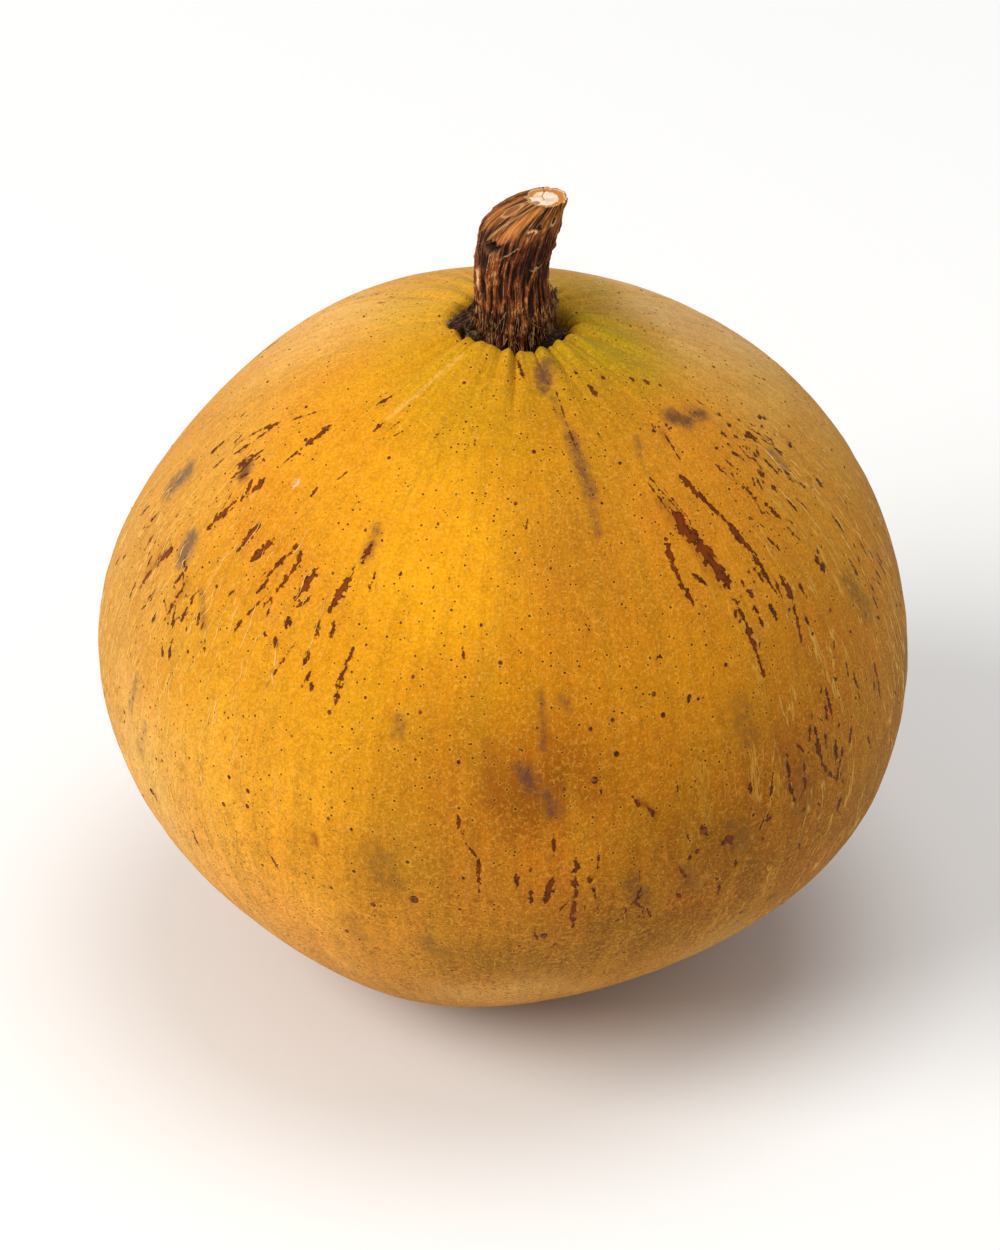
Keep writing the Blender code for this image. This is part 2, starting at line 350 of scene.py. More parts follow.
def grow_skin():
    pad = Grower("santol_skin_rule", skin_sizes)
    ball = pad.node("GeometryNodeMeshUVSphere", Segments=pad.size("Segments"), Rings=pad.size("Rings"),
                    Radius=1.0)
    start_x, start_y, start_z = pad.split(pad.out(pad.node("GeometryNodeInputPosition")))
    azimuth = pad.math("ARCTAN2", start_y, start_x)
    upright = pad.least(pad.most(start_z, -1.0), 1.0)
    ring = pad.math("ARCCOSINE", upright) / math.pi * pad.size("Rings") - 1
    lip_rings = pad.size("Lip Rings")
    body_rings = pad.size("Rings") - 2 - lip_rings - pad.size("Foot Rings")
    turn = pad.least(pad.most(ring / lip_rings * (math.pi / 2), 0.0), math.pi / 2)
    body_share = pad.math("DIVIDE", ring - lip_rings, body_rings, clamp=True)
    foot_share = pad.math("DIVIDE", ring - lip_rings - body_rings, pad.size("Foot Rings"), clamp=True)
    polar = body_share * (FOOT_POLAR - LIP_POLAR) + LIP_POLAR

    round_x, round_y = pad.cos(azimuth), pad.sin(azimuth)
    around = pad.combine(round_x, round_y, 0.0)
    wander = pad.noise(around, 2.3, 2.0) - 0.5

    # the body, with its rings centred on the stem at the top and on the foot below
    slide = pad.ramp(polar, LIP_POLAR, OFFSET_POLAR, STEM_OFFSET / outline(LIP_RADIUS, CROWN_HEIGHT), 0.0)
    sine = pad.sin(polar)
    ray = pad.combine(sine * round_x + slide, sine * round_y, pad.cos(polar))
    ray = pad.vector("NORMALIZE", ray)
    distance = lumpy_distance(pad, ray)
    rim_ray = pad.combine(math.sin(FOOT_POLAR) * round_x, math.sin(FOOT_POLAR) * round_y,
                          math.cos(FOOT_POLAR))
    rim = pad.scale(rim_ray, lumpy_distance(pad, rim_ray))
    level_rim = pad.combine(FOOT_RADIUS * round_x, FOOT_RADIUS * round_y, -FOOT_LEVEL)
    pull = pad.ramp(polar, PRESSED_POLAR, FOOT_POLAR)
    ripple = (pad.noise(ray, 2.6, 3.0, 0.55) - 0.5) * pad.size("Ripple") * 2
    rib = pad.noise(pad.combine(round_x * 15, round_y * 15, pad.cos(polar) * 0.8), 1.0, 2.0) - 0.5
    rib = rib * pad.size("Rib Height") * 4 * pad.ramp(polar, 0.5, 1.1) * pad.ramp(polar, 2.7, 2.1)
    distance = distance + (ripple + rib) * (1 - pull)
    body = pad.scale(ray, distance)
    levelled = pad.scale(pad.vector("SUBTRACT", level_rim, rim), pull)
    body = pad.vector("ADD", body, levelled)
    body_x, body_y, body_z = pad.split(body)

    # pleats: rounded folds with narrow creases, and a few long shallow grooves
    from_stem = pad.vector("LENGTH", pad.combine(body_x - STEM_OFFSET, body_y, 0.0), None, output=1)
    beyond_lip = pad.most(from_stem - LIP_RADIUS, 0.0)
    phase = (azimuth + wander * 0.75) * pad.size("Fold Count") * 0.5
    crease = abs(pad.sin(phase)) ** 0.7
    deep = pad.size("Fold Depth") * pad.ramp(pad.noise(around, 3.3, 1.0), 0.34, 0.66, 0.35, 1.45)
    reach = pad.size("Fold Reach") * pad.ramp(pad.noise(around, 4.1, 1.0), 0.32, 0.68, 0.55, 1.7)
    fold = (crease - 0.6) * deep * pad.bell(beyond_lip, reach)
    groove = pad.ramp(pad.noise(pad.combine(round_x * 2.6, round_y * 2.6, 5.0), 1.0, 1.0), 0.52, 0.34)
    groove = groove * pad.size("Groove Depth") * pad.bell(beyond_lip, GROOVE_REACH)
    above = pad.ramp(body_z, 0.0, 10 * MM)
    body_z = body_z + (fold - groove) * above + FOOT_LEVEL

    # the rolled lip runs from the body's first ring down to the pit's floor
    lip_radius = LIP_RADIUS - LIP_ROUND * pad.cos(turn)
    pleat_in = (crease - 0.6) * deep * pad.sin(turn * 2) * 0.8
    lip_radius = lip_radius - pleat_in
    lip_z = PIT_FLOOR + (body_z - PIT_FLOOR) * pad.sin(turn)
    lip = pad.combine(lip_radius * round_x + STEM_OFFSET, lip_radius * round_y, lip_z)

    # the foot draws in to a shallow dimple
    foot_radius = FOOT_RADIUS * (1 - foot_share)
    foot_z = pad.ramp(foot_share, 0.25, 1.0) * pad.size("Blossom Dimple")
    foot = pad.combine(foot_radius * round_x, foot_radius * round_y, foot_z)

    def choose(switch, first, second):
        made = pad.node("ShaderNodeMix", {"data_type": "VECTOR", "clamp_factor": True})
        pad.plug(made.inputs[0], switch)
        pad.plug(made.inputs[4], first)
        pad.plug(made.inputs[5], second)
        return pad.out(made, 1)

    body = pad.combine(body_x, body_y, body_z)
    place = choose(pad.math("LESS_THAN", ring, lip_rings), body, lip)
    place = choose(pad.math("GREATER_THAN", foot_share, 0.0001), place, foot)
    place = choose(pad.math("LESS_THAN", ring, -0.5), place, (STEM_OFFSET, 0.0, PIT_FLOOR))

    # in front the lip is fuller and leans over the pit
    place_x, place_y, place_z = pad.split(place)
    out_x = place_x - STEM_OFFSET
    out = pad.math("SQRT", out_x * out_x + place_y * place_y)
    past_lip = pad.most(out - LIP_RADIUS, 0.0)
    roll = pad.ramp(out, PIT_RADIUS, LIP_RADIUS) * pad.bell(past_lip, ROLL_REACH)
    roll = roll * pad.ramp(round_y, 0.1, -0.8) * pad.ramp(place_z, FOOT_LEVEL, PIT_FLOOR)
    roll = roll * pad.size("Front Roll")
    closer = 1 - roll / pad.most(out, MM)
    place = pad.combine(out_x * closer + STEM_OFFSET, place_y * closer, place_z + roll)
    moved = pad.node("GeometryNodeSetPosition", Geometry=pad.out(ball), Position=place)
    pad.end(pad.out(moved))
    return pad


skin_material, skin_pad, skin_shader = new_material("santol_skin")
skin = grow_skin().grow("santol_skin", skin_material)
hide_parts("fruit")
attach(skin, "root")
points = np.empty(len(skin.data.vertices) * 3)
skin.data.vertices.foreach_get("co", points)
points = points.reshape(-1, 3)
print("skin spans", (points.min(axis=0) / MM).round(2), (points.max(axis=0) / MM).round(2), "mm")

# %% [markdown]
# ## Where things are on the skin
# Marks on a fruit are easiest to place as on a globe: an azimuth round the stem and a polar angle
# down from it. The tree above is a globe whose rings were moved, so each point of the finished
# skin still knows its place by its order, and it is worked out again here from the point itself.

# %% Globe angles of every point
across_mm = np.hypot(points[:, 0], points[:, 1]) / MM
from_middle = points - (0, 0, FOOT_LEVEL)
polar_deg = np.degrees(np.arctan2(np.hypot(points[:, 0], points[:, 1]), from_middle[:, 2]))
lean_in = STEM_OFFSET * np.clip(1 - polar_deg / 50, 0, 1) * 1.3
lean_in = np.minimum(lean_in, STEM_OFFSET)
azimuth_deg = np.degrees(np.arctan2(points[:, 1], points[:, 0] - lean_in))
stem_distance = np.hypot(points[:, 0] - STEM_OFFSET, points[:, 1])
polar_deg = np.degrees(np.arctan2(np.hypot(points[:, 0] - lean_in, points[:, 1]), from_middle[:, 2]))
rays = from_middle / np.linalg.norm(from_middle, axis=1)[:, None]


def globe(azimuth, polar):
    """A direction from degrees."""
    azimuth, polar = math.radians(azimuth), math.radians(polar)
    level_share = math.sin(polar)
    return np.array((level_share * math.cos(azimuth), level_share * math.sin(azimuth), math.cos(polar)))


def give_attribute(mesh, name, values):
    """Stores one number, or three, on every point of a mesh."""
    kind = "FLOAT_VECTOR" if values.ndim == 2 else "FLOAT"
    layer = mesh.attributes.new(name, kind, "POINT")
    layer.data.foreach_set("vector" if values.ndim == 2 else "value", values.astype(np.float32).ravel())


# %% [markdown]
# ## The skin's colours
# A santol ripens unevenly. The side that had the sun is golden and the other side a duller ochre, partly its
# own colour and partly painted shade; the crown stays a little green near the stem, and the underside is
# brown, darkened further with painted shade. Pale patches along the edges and under the chin are painted
# sheen and bounce light. Each patch has a place, a spread and a colour, and every point takes the mean of the
# patches weighted by how near they are, so the colours run into each other as on the fruit.

# %% Patches of colour
# azimuth, polar angle, spread (degrees), weight, then red, green and blue
PATCHES = (
    (-118, 38, 17, 1.0, 0.74, 0.31, 0.006),     # sunny shoulder, golden yellow
    (-135, 57, 13, 1.0, 0.59, 0.215, 0.016),    # orange flank
    (-139, 68, 12, 1.0, 0.61, 0.262, 0.008),
    (-120, 68, 13, 1.0, 0.67, 0.285, 0.002),
    (-163, 76, 14, 1.0, 0.61, 0.290, 0.090),    # pale at the far left edge: painted rim sheen on the felt
    (-150, 95, 11, 1.2, 0.76, 0.42, 0.190),
    (-132, 86, 13, 1.0, 0.76, 0.345, 0.045),
    (-118, 92, 12, 0.9, 0.78, 0.320, 0.006),
    (-150, 30, 14, 1.0, 0.70, 0.27, 0.008),
    (178, 46, 16, 1.0, 0.64, 0.30, 0.080),      # pale crown at the left edge: painted rim sheen
    (152, 32, 12, 1.4, 0.86, 0.50, 0.280),
    (-95, 52, 12, 1.1, 0.76, 0.325, 0.002),
    (-98, 45, 7, 1.4, 0.90, 0.390, 0.006),
    (-78, 46, 7, 1.8, 0.43, 0.162, 0.014),
    (-57, 47, 6, 1.0, 0.70, 0.255, 0.012),
    (-86, 34, 9, 0.7, 0.61, 0.258, 0.003),
    (-72, 48, 13, 1.2, 0.50, 0.178, 0.012),     # duller ochre begins
    (-44, 52, 14, 1.0, 0.66, 0.245, 0.014),
    (-33, 38, 11, 0.8, 0.65, 0.242, 0.017),
    (-60, 66, 13, 1.0, 0.62, 0.235, 0.006),
    (-14, 62, 16, 1.0, 0.58, 0.240, 0.022),
    (5, 45, 14, 1.0, 0.70, 0.38, 0.130),
    (36, 38, 13, 1.6, 0.84, 0.56, 0.420),       # pale crown at the right edge: painted rim sheen
    (2, 80, 12, 1.4, 0.29, 0.120, 0.002),       # shaded rim
    (-12, 99, 11, 1.4, 0.24, 0.082, 0.001),
    (-35, 76, 14, 1.0, 0.44, 0.155, 0.010),
    (-100, 76, 9, 0.8, 0.445, 0.160, 0.008),
    (-88, 64, 8, 0.8, 0.49, 0.175, 0.003),
    (-84, 78, 7, 1.3, 0.27, 0.074, 0.004),      # brown bruise in front
    (-66, 80, 11, 1.0, 0.44, 0.160, 0.004),
    (-106, 93, 7, 1.35, 0.33, 0.135, 0.014),     # olive patch
    (-94, 97, 9, 0.8, 0.47, 0.165, 0.012),
    (-80, 89, 6, 1.1, 0.60, 0.190, 0.006),
    (-94, 112, 6, 1.4, 0.26, 0.098, 0.002),
    (-67, 96, 10, 1.0, 0.245, 0.076, 0.004),    # brown underside, lower right, darkened further with painted shade
    (-50, 88, 11, 1.0, 0.29, 0.090, 0.006),
    (-76, 107, 10, 1.0, 0.27, 0.100, 0.008),
    (-104, 110, 9, 1.0, 0.52, 0.205, 0.018),
    (-125, 108, 13, 1.0, 0.78, 0.325, 0.085),
    (-50, 108, 13, 1.0, 0.235, 0.083, 0.003),
    (-90, 126, 7, 1.6, 0.66, 0.34, 0.150),      # pale under the chin: painted bounce light and rim sheen
    (-50, 121, 8, 1.4, 0.56, 0.29, 0.120),
    (-130, 119, 7, 1.2, 0.72, 0.36, 0.120),
    (-100, 150, 30, 0.8, 0.50, 0.22, 0.060),
    (40, 70, 30, 0.8, 0.50, 0.190, 0.014),      # the side away from the light
    (95, 55, 26, 0.8, 0.66, 0.25, 0.014),
    (110, 32, 13, 1.0, 0.68, 0.34, 0.080),
    (140, 80, 26, 0.8, 0.66, 0.25, 0.020),
    (80, 100, 26, 0.8, 0.42, 0.15, 0.014),
    (10, 120, 30, 0.8, 0.34, 0.125, 0.016),
    (-102, 22, 9, 1.2, 0.52, 0.255, 0.002),     # green-yellow by the stem
    (-128, 17, 9, 1.1, 0.56, 0.290, 0.004),
    (-15, 15, 9, 1.3, 0.38, 0.265, 0.003),
    (-50, 22, 9, 1.0, 0.48, 0.225, 0.004),
    (-75, 22, 9, 1.0, 0.49, 0.210, 0.004),
    (64, 20, 9, 2.4, 0.30, 0.190, 0.002),
    (150, 16, 11, 1.0, 0.58, 0.30, 0.016),
)


def patch_colours():
    total = np.full(len(rays), 0.02)
    colour = np.outer(total, (0.56, 0.20, 0.01))
    for azimuth, polar, spread, weight, red, green, blue in PATCHES:
        angle = np.degrees(np.arccos(np.clip(rays @ globe(azimuth, polar), -1, 1)))
        share = weight * np.exp(-((angle / spread) ** 2))
        total += share
        colour += np.outer(share, (red, green, blue * 0.55))
    return colour / total[:, None]


# %% [markdown]
# ## Stains and scars
# Rubbing against twigs leaves two kinds of mark. Stains are soft, purple-grey or brown, and can be
# mixed straight into the point colours. Scars are crisp: dark red dashes that run down from the
# stem, often in broken rows. A point every half millimetre can't draw a crisp dash, but it can
# carry two numbers that change evenly, the distance across to the middle of the nearest dash and
# the dash's half width there. The material compares the two, so its edges are as sharp as wanted.

# %% Soft stains
PURPLE = (0.108, 0.043, 0.027)
GREY = (0.125, 0.085, 0.062)
BROWN = (0.25, 0.060, 0.006)
SOOT = (0.115, 0.055, 0.018)
WHITE = (0.86, 0.72, 0.60)
PEELED = (0.78, 0.41, 0.075)
# for each colour: start and end (azimuth, polar), half width in mm, strength
STAINS = {
    PURPLE: (
        (-72, 16, -69, 26, 0.5, 0.35), (-69, 27, -69, 38, 0.9, 0.55), (-69, 38, -70, 44, 0.6, 0.4),
        (-69, 13, -72, 16, 1.1, 0.75), (-74, 16, -75, 18, 0.7, 0.6), (-156, 46, -155, 47, 1.0, 0.85),
        (-146, 63, -142, 67, 0.8, 0.4), (-33, 31, -30, 33, 1.3, 0.75), (-26, 33, -24, 34, 1.3, 0.6),
        (-49, 31, -52, 34, 0.6, 0.4), (-84, 65, -84, 73, 0.5, 0.45), (-87, 76, -86, 78, 1.2, 0.62),
        (-84, 79, -83, 82, 1.1, 0.52), (-117, 44, -117, 49, 0.7, 0.5), (-105, 70, -105, 72, 0.8, 0.5),
        (-81, 66, -80, 68, 0.6, 0.4), (60, 52, 63, 55, 1.4, 0.5), (66, 54, 67, 55, 1.0, 0.5),
        (150, 45, 151, 49, 1.0, 0.5),
    ),
    GREY: (
        (-171, 55, -172, 59, 1.5, 0.8), (-155, 59, -154, 62, 1.2, 0.85), (-153, 81, -154, 87, 0.7, 0.45),
        (-149, 86, -151, 92, 0.7, 0.35), (-17, 46, -18, 50, 0.9, 0.45), (120, 70, 121, 72, 1.4, 0.5),
        (124, 71, 125, 72, 0.9, 0.5),
    ),
    BROWN: (
        (-40, 32, -42, 34, 0.6, 0.4), (-92, 72, -91, 80, 1.2, 0.3), (-48, 81, -44, 89, 2.0, 0.3),
        (-160, 63, -161, 68, 0.9, 0.4), (-150, 64, -151, 70, 0.9, 0.3), (-53, 42, -49, 56, 1.3, 0.35),
        (-71, 82, -69, 84, 0.5, 0.7), (-116, 89, -116, 91, 0.6, 0.5), (20, 75, 19, 82, 1.0, 0.4),
        (95, 85, 96, 92, 1.6, 0.4),
    ),
    SOOT: (
        (-72, 95, -70, 99, 1.3, 0.42), (-64, 95, -62, 99, 1.5, 0.35), (-107, 90, -105, 95, 2.3, 0.27),
        (-101, 106, -99, 109, 2.0, 0.33), (-57, 90, -55, 94, 1.8, 0.32), (-45, 86, -44, 92, 2.2, 0.40),
        (-112, 104, -111, 108, 1.4, 0.3), (-54, 73, -53, 78, 2.2, 0.29), (86, 88, 90, 93, 2.4, 0.36),
        (48, 96, 52, 99, 2.0, 0.34), (-22, 68, -21, 74, 1.8, 0.4),
    ),
    WHITE: (
        (-141, 42.8, -141, 43.2, 0.30, 0.62),
    ),
    PEELED: (
        (-127, 13, -132, 28, 0.28, 0.55),
    ),
}
MERIDIAN_MM = 0.72      # millimetres of skin to one degree down from the stem


def mark_frame(start_azimuth, start_polar, end_azimuth, end_polar):
    """For every point: share of the way along a mark, mm past its ends, and mm to its side."""
    share = (polar_deg - start_polar) / (end_polar - start_polar)
    inside = np.clip(share, 0, 1)
    middle_azimuth = start_azimuth + inside * (end_azimuth - start_azimuth)
    turn = (azimuth_deg - middle_azimuth + 180) % 360 - 180
    side = np.radians(turn) * across_mm
    past = np.abs(share - inside) * (end_polar - start_polar) * MERIDIAN_MM
    return inside, past, side


skin_colour = patch_colours()
stain_strength = np.zeros(len(points))
stain_total = np.full(len(points), 1e-6)
stain_colour = np.outer(stain_total, GREY)
for stain, places in STAINS.items():
    for *place, half_width, strength in places:
        inside, past, side = mark_frame(*place)
        spread = np.exp(-((side / half_width) ** 2 + (past / (0.8 * half_width)) ** 2) * 0.8)
        stain_strength = np.maximum(stain_strength, strength * spread)
        stain_total += spread
        stain_colour += np.outer(spread, stain)
give_attribute(skin.data, "stain", stain_strength)
give_attribute(skin.data, "stain_colour", stain_colour / stain_total[:, None])

# painted shade: the skin inside the pit round the stem is darkened almost to black, where the lip and stem
# shade it
in_pit = np.clip((LIP_RADIUS - stem_distance) / LIP_ROUND, 0, 1) * (polar_deg < 40)
skin_colour *= (1 - 0.86 * in_pit ** 1.5)[:, None]
give_attribute(skin.data, "ripe_and_painted_light", skin_colour)

# %% Crisp scars
# start and end (azimuth, polar) in degrees, half width in mm
SCARS = (
    # the large scar on the right, with the fine scratches above it
    (-54, 38, -52, 46, 0.14), (-53, 37, -50, 45, 0.16), (-51, 40, -49, 46, 0.14),
    (-52, 43, -50, 51, 0.80), (-50, 48, -48, 58, 0.75), (-56, 47, -57, 53, 0.42),
    (-57, 52, -56, 58, 0.34), (-54, 53, -52, 56, 0.26),
    # the strip beside it and the rows below
    (-45, 39, -43, 45, 0.46), (-43, 44, -41, 50, 0.32), (-41, 49, -40, 55, 0.48),
    (-40, 54, -40, 60, 0.34), (-37, 59, -37, 64, 0.45), (-37, 63, -39, 70, 0.26),
    (-48, 59, -48, 64, 0.28), (-48, 63, -48, 67, 0.42), (-48, 66, -48, 71, 0.38),
    (-34, 41, -33, 45, 0.34), (-32, 46, -31, 49, 0.50), (-30, 50, -29, 54, 0.34),
    (-29, 55, -28, 58, 0.34), (-25, 46, -25, 48, 0.42), (-25, 49, -25, 51, 0.38),
    (-24, 52, -24, 55, 0.20), (-22, 53, -21, 56, 0.20), (-36, 50, -34, 53, 0.20),
    (-35, 54, -34, 57, 0.20), (-27, 61, -27, 64, 0.46), (-24, 38, -24, 39, 0.40),
    (-22, 40, -22, 41, 0.38), (-20, 38, -20, 39, 0.36), (-18, 41, -18, 42, 0.42),
    (-16, 39, -16, 40, 0.36), (-26, 40, -26, 41, 0.34), (-14, 41, -14, 42, 0.36),
    (-19, 36, -19, 37, 0.30), (-12, 43, -12, 44, 0.34), (-30, 39, -30, 40, 0.32),
    (-27, 41, -26, 44, 0.28), (-22, 42, -22, 45, 0.26), (-25, 38, -24, 40, 0.26),
    (-14, 44, -14, 47, 0.34), (-10, 48, -10, 50, 0.40), (-9, 42, -8, 44, 0.34), (-12, 54, -12, 57, 0.34),
    (-19, 41, -18, 44, 0.22), (-45, 61, -45, 65, 0.24), (-42, 62, -42, 65, 0.34),
    (-34, 61, -34, 65, 0.22), (-36, 66, -36, 68, 0.26), (-40, 32, -42, 38, 0.16),
    (-41, 30, -43, 32, 0.34), (-37, 31, -38, 33, 0.22),
    # broken rows on the left shoulder
    (-146, 33, -147, 38, 0.42), (-147, 38, -148, 42, 0.18), (-149, 45, -149, 48, 0.42),
    (-150, 48, -150, 50, 0.34), (-151, 50, -153, 57, 0.48), (-154, 33, -158, 37, 0.22),
    (-160, 38, -162, 41, 0.38), (-162, 40, -165, 46, 0.20), (-156, 42, -158, 48, 0.18),
    (-169, 47, -169, 50, 0.42), (-142, 50, -143, 56, 0.42), (-145, 57, -146, 59, 0.26),
    (-137, 51, -139, 56, 0.48), (-131, 50, -135, 58, 0.34), (-129, 52, -131, 58, 0.38),
    (-132, 58, -136, 65, 0.20), (-125, 52, -127, 58, 0.48), (-117, 46, -117, 50, 0.34),
    (-118, 51, -120, 58, 0.50), (-121, 59, -121, 62, 0.38), (-114, 50, -114, 54, 0.24),
    (-109, 49, -109, 51, 0.20), (-114, 61, -115, 66, 0.24), (-115, 65, -115, 70, 0.34),
    (-124, 63, -127, 71, 0.18), (-158, 62, -160, 67, 0.54), (-160, 67, -161, 71, 0.34),
    (-163, 70, -163, 74, 0.24), (-154, 61, -150, 65, 0.20), (-150, 64, -151, 71, 0.30),
    (-147, 66, -147, 70, 0.26), (-144, 66, -143, 68, 0.28), (-163, 58, -163, 62, 0.22),
    (-175, 64, -176, 67, 0.28), (-120, 66, -121, 69, 0.22), (-139, 60, -140, 62, 0.18),
    # near the stem
    (-68, 18, -69, 24, 0.13), (-69, 24, -69, 30, 0.12), (-87, 11, -83, 16, 0.20),
    (-132, 28, -133, 31, 0.30), (-138, 24, -140, 27, 0.24), (-52, 19, -52, 22, 0.34),
    (-53, 15, -53, 18, 0.22), (-42, 18, -42, 20, 0.30), (-28, 23, -28, 25, 0.38),
    (-35, 26, -35, 27, 0.28),
    # low in front and at the lower right
    (-96, 82, -95, 86, 0.24), (-95, 86, -93, 89, 0.18), (-93, 88, -93, 95, 0.24),
    (-83, 85, -83, 89, 0.20), (-88, 90, -88, 94, 0.30), (-86, 94, -86, 97, 0.26), (-77, 88, -77, 92, 0.2),
    (-86, 90, -86, 92, 0.24), (-83, 92, -84, 97, 0.44), (-80, 89, -80, 97, 0.38),
    (-80, 96, -80, 103, 0.30), (-78, 92, -78, 94, 0.26), (-72, 81, -71, 83, 0.30),
    (-70, 83, -69, 85, 0.34), (-124, 94, -122, 98, 0.20), (-47, 82, -47, 89, 0.24),
    (-41, 81, -41, 86, 0.30), (-37, 77, -37, 82, 0.28), (-24, 79, -24, 86, 0.24),
    (-33, 85, -34, 88, 0.30), (-44, 85, -44, 90, 0.22), (-30, 78, -30, 83, 0.22),
    (-62, 88, -61, 90, 0.50), (-58, 91, -57, 93, 0.54), (-63, 91, -64, 94, 0.30),
    (-54, 84, -54, 86, 0.26), (-51, 90, -51, 92, 0.26), (-149, 97, -148, 99, 0.34),
    (-139, 98, -139, 102, 0.20), (-56, 96, -56, 98, 0.26), (-44, 99, -43, 101, 0.26),
)


def strewn_scars(seed=11, lone=130):
    """Small seeded dashes: a few alone anywhere, and groups of them on the far side."""
    random = np.random.default_rng(seed)
    made = []
    far_side = ((35, 58), (98, 50), (128, 74), (70, 84), (10, 84))
    groups = [(azimuth, polar, 12, 24) for azimuth, polar in far_side]
    groups += [(-38, 83, 8, 34), (-151, 67, 5, 22), (-22, 46, 6, 24), (-72, 98, 6, 18), (-158, 45, 6, 18)]
    groups += [(-128, 60, 6, 14), (-168, 66, 5, 12), (-14, 66, 7, 14), (-44, 60, 5, 12)]
    for azimuth, polar, spread, count in groups:
        for _ in range(count):
            start = polar + random.normal(0, spread * 0.6)
            middle = azimuth + random.normal(0, spread * 0.8)
            length = random.uniform(0.8, 4)
            made.append((middle, start, middle + random.normal(0, 1), start + length,
                         random.uniform(0.13, 0.33)))
    for _ in range(lone):
        azimuth, start = random.uniform(-180, 180), random.uniform(20, 125)
        made.append((azimuth, start, azimuth + random.normal(0, 0.8), start + random.uniform(0.8, 2.6),
                     random.uniform(0.12, 0.22)))
    return made


SCAR_LAYERS = 6
CLEAR_OF_EACH_OTHER = 1.7      # mm of plain skin between two scars of one layer


def share_out(scars):
    """Deals the scars out so that those of one layer stay apart."""
    tracks = []
    for start_azimuth, start_polar, end_azimuth, end_polar, _ in scars:
        steps = [(start_azimuth + (end_azimuth - start_azimuth) * step / 6,
                  start_polar + (end_polar - start_polar) * step / 6) for step in range(7)]
        tracks.append(np.array([globe(*step) for step in steps]) * FRUIT_RADIUS * 0.93 / MM)
    layers = [[] for _ in range(SCAR_LAYERS)]
    for scar, track in zip(scars, tracks):
        gaps = []
        for layer in layers:
            apart = [np.linalg.norm(track[:, None] - other[None], axis=2).min() - scar[4] - width
                     for other, width, _ in layer]
            gaps.append(min(apart, default=99.0))
        free = [number for number, gap in enumerate(gaps) if gap > CLEAR_OF_EACH_OTHER]
        layers[free[0] if free else int(np.argmax(gaps))].append((track, scar[4], scar))
    return [[scar for *_, scar in layer] for layer in layers]


scar_layers = share_out(list(SCARS) + strewn_scars())
for number, layer in enumerate(scar_layers):
    best = np.full(len(points), -9.0)
    fields = np.tile((5.0, -1.0, 0.0), (len(points), 1))      # mm to the side, half width there
    for *place, half_width in layer:
        inside, past, side = mark_frame(*place)
        taper = np.sqrt(np.clip(1 - (2 * inside - 1) ** 2, 0, 1))
        width = half_width * taper - past - np.maximum(np.abs(side) - half_width - 0.7, 0) * 2
        nearest = width - np.abs(side) > best
        best[nearest] = (width - np.abs(side))[nearest]
        fields[nearest, :2] = np.stack((np.clip(side, -5, 5), width), 1)[nearest]
    give_attribute(skin.data, f"scar_{number}", fields)
print("scars in each layer:", [len(layer) for layer in scar_layers])

# %% [markdown]
# ## The skin's material
# Close up the rind is matt felt. Its grain is finer than a hair's breadth apart, pale veins run
# down it, and tiny corky pores dot it all over. All of it is written in millimetres of the
# object's own coordinates, and what runs down from the stem uses the direction round the stem, so
# the lines meet at the stem as they do on the fruit. A constant sheen gives the pale rim of felt.

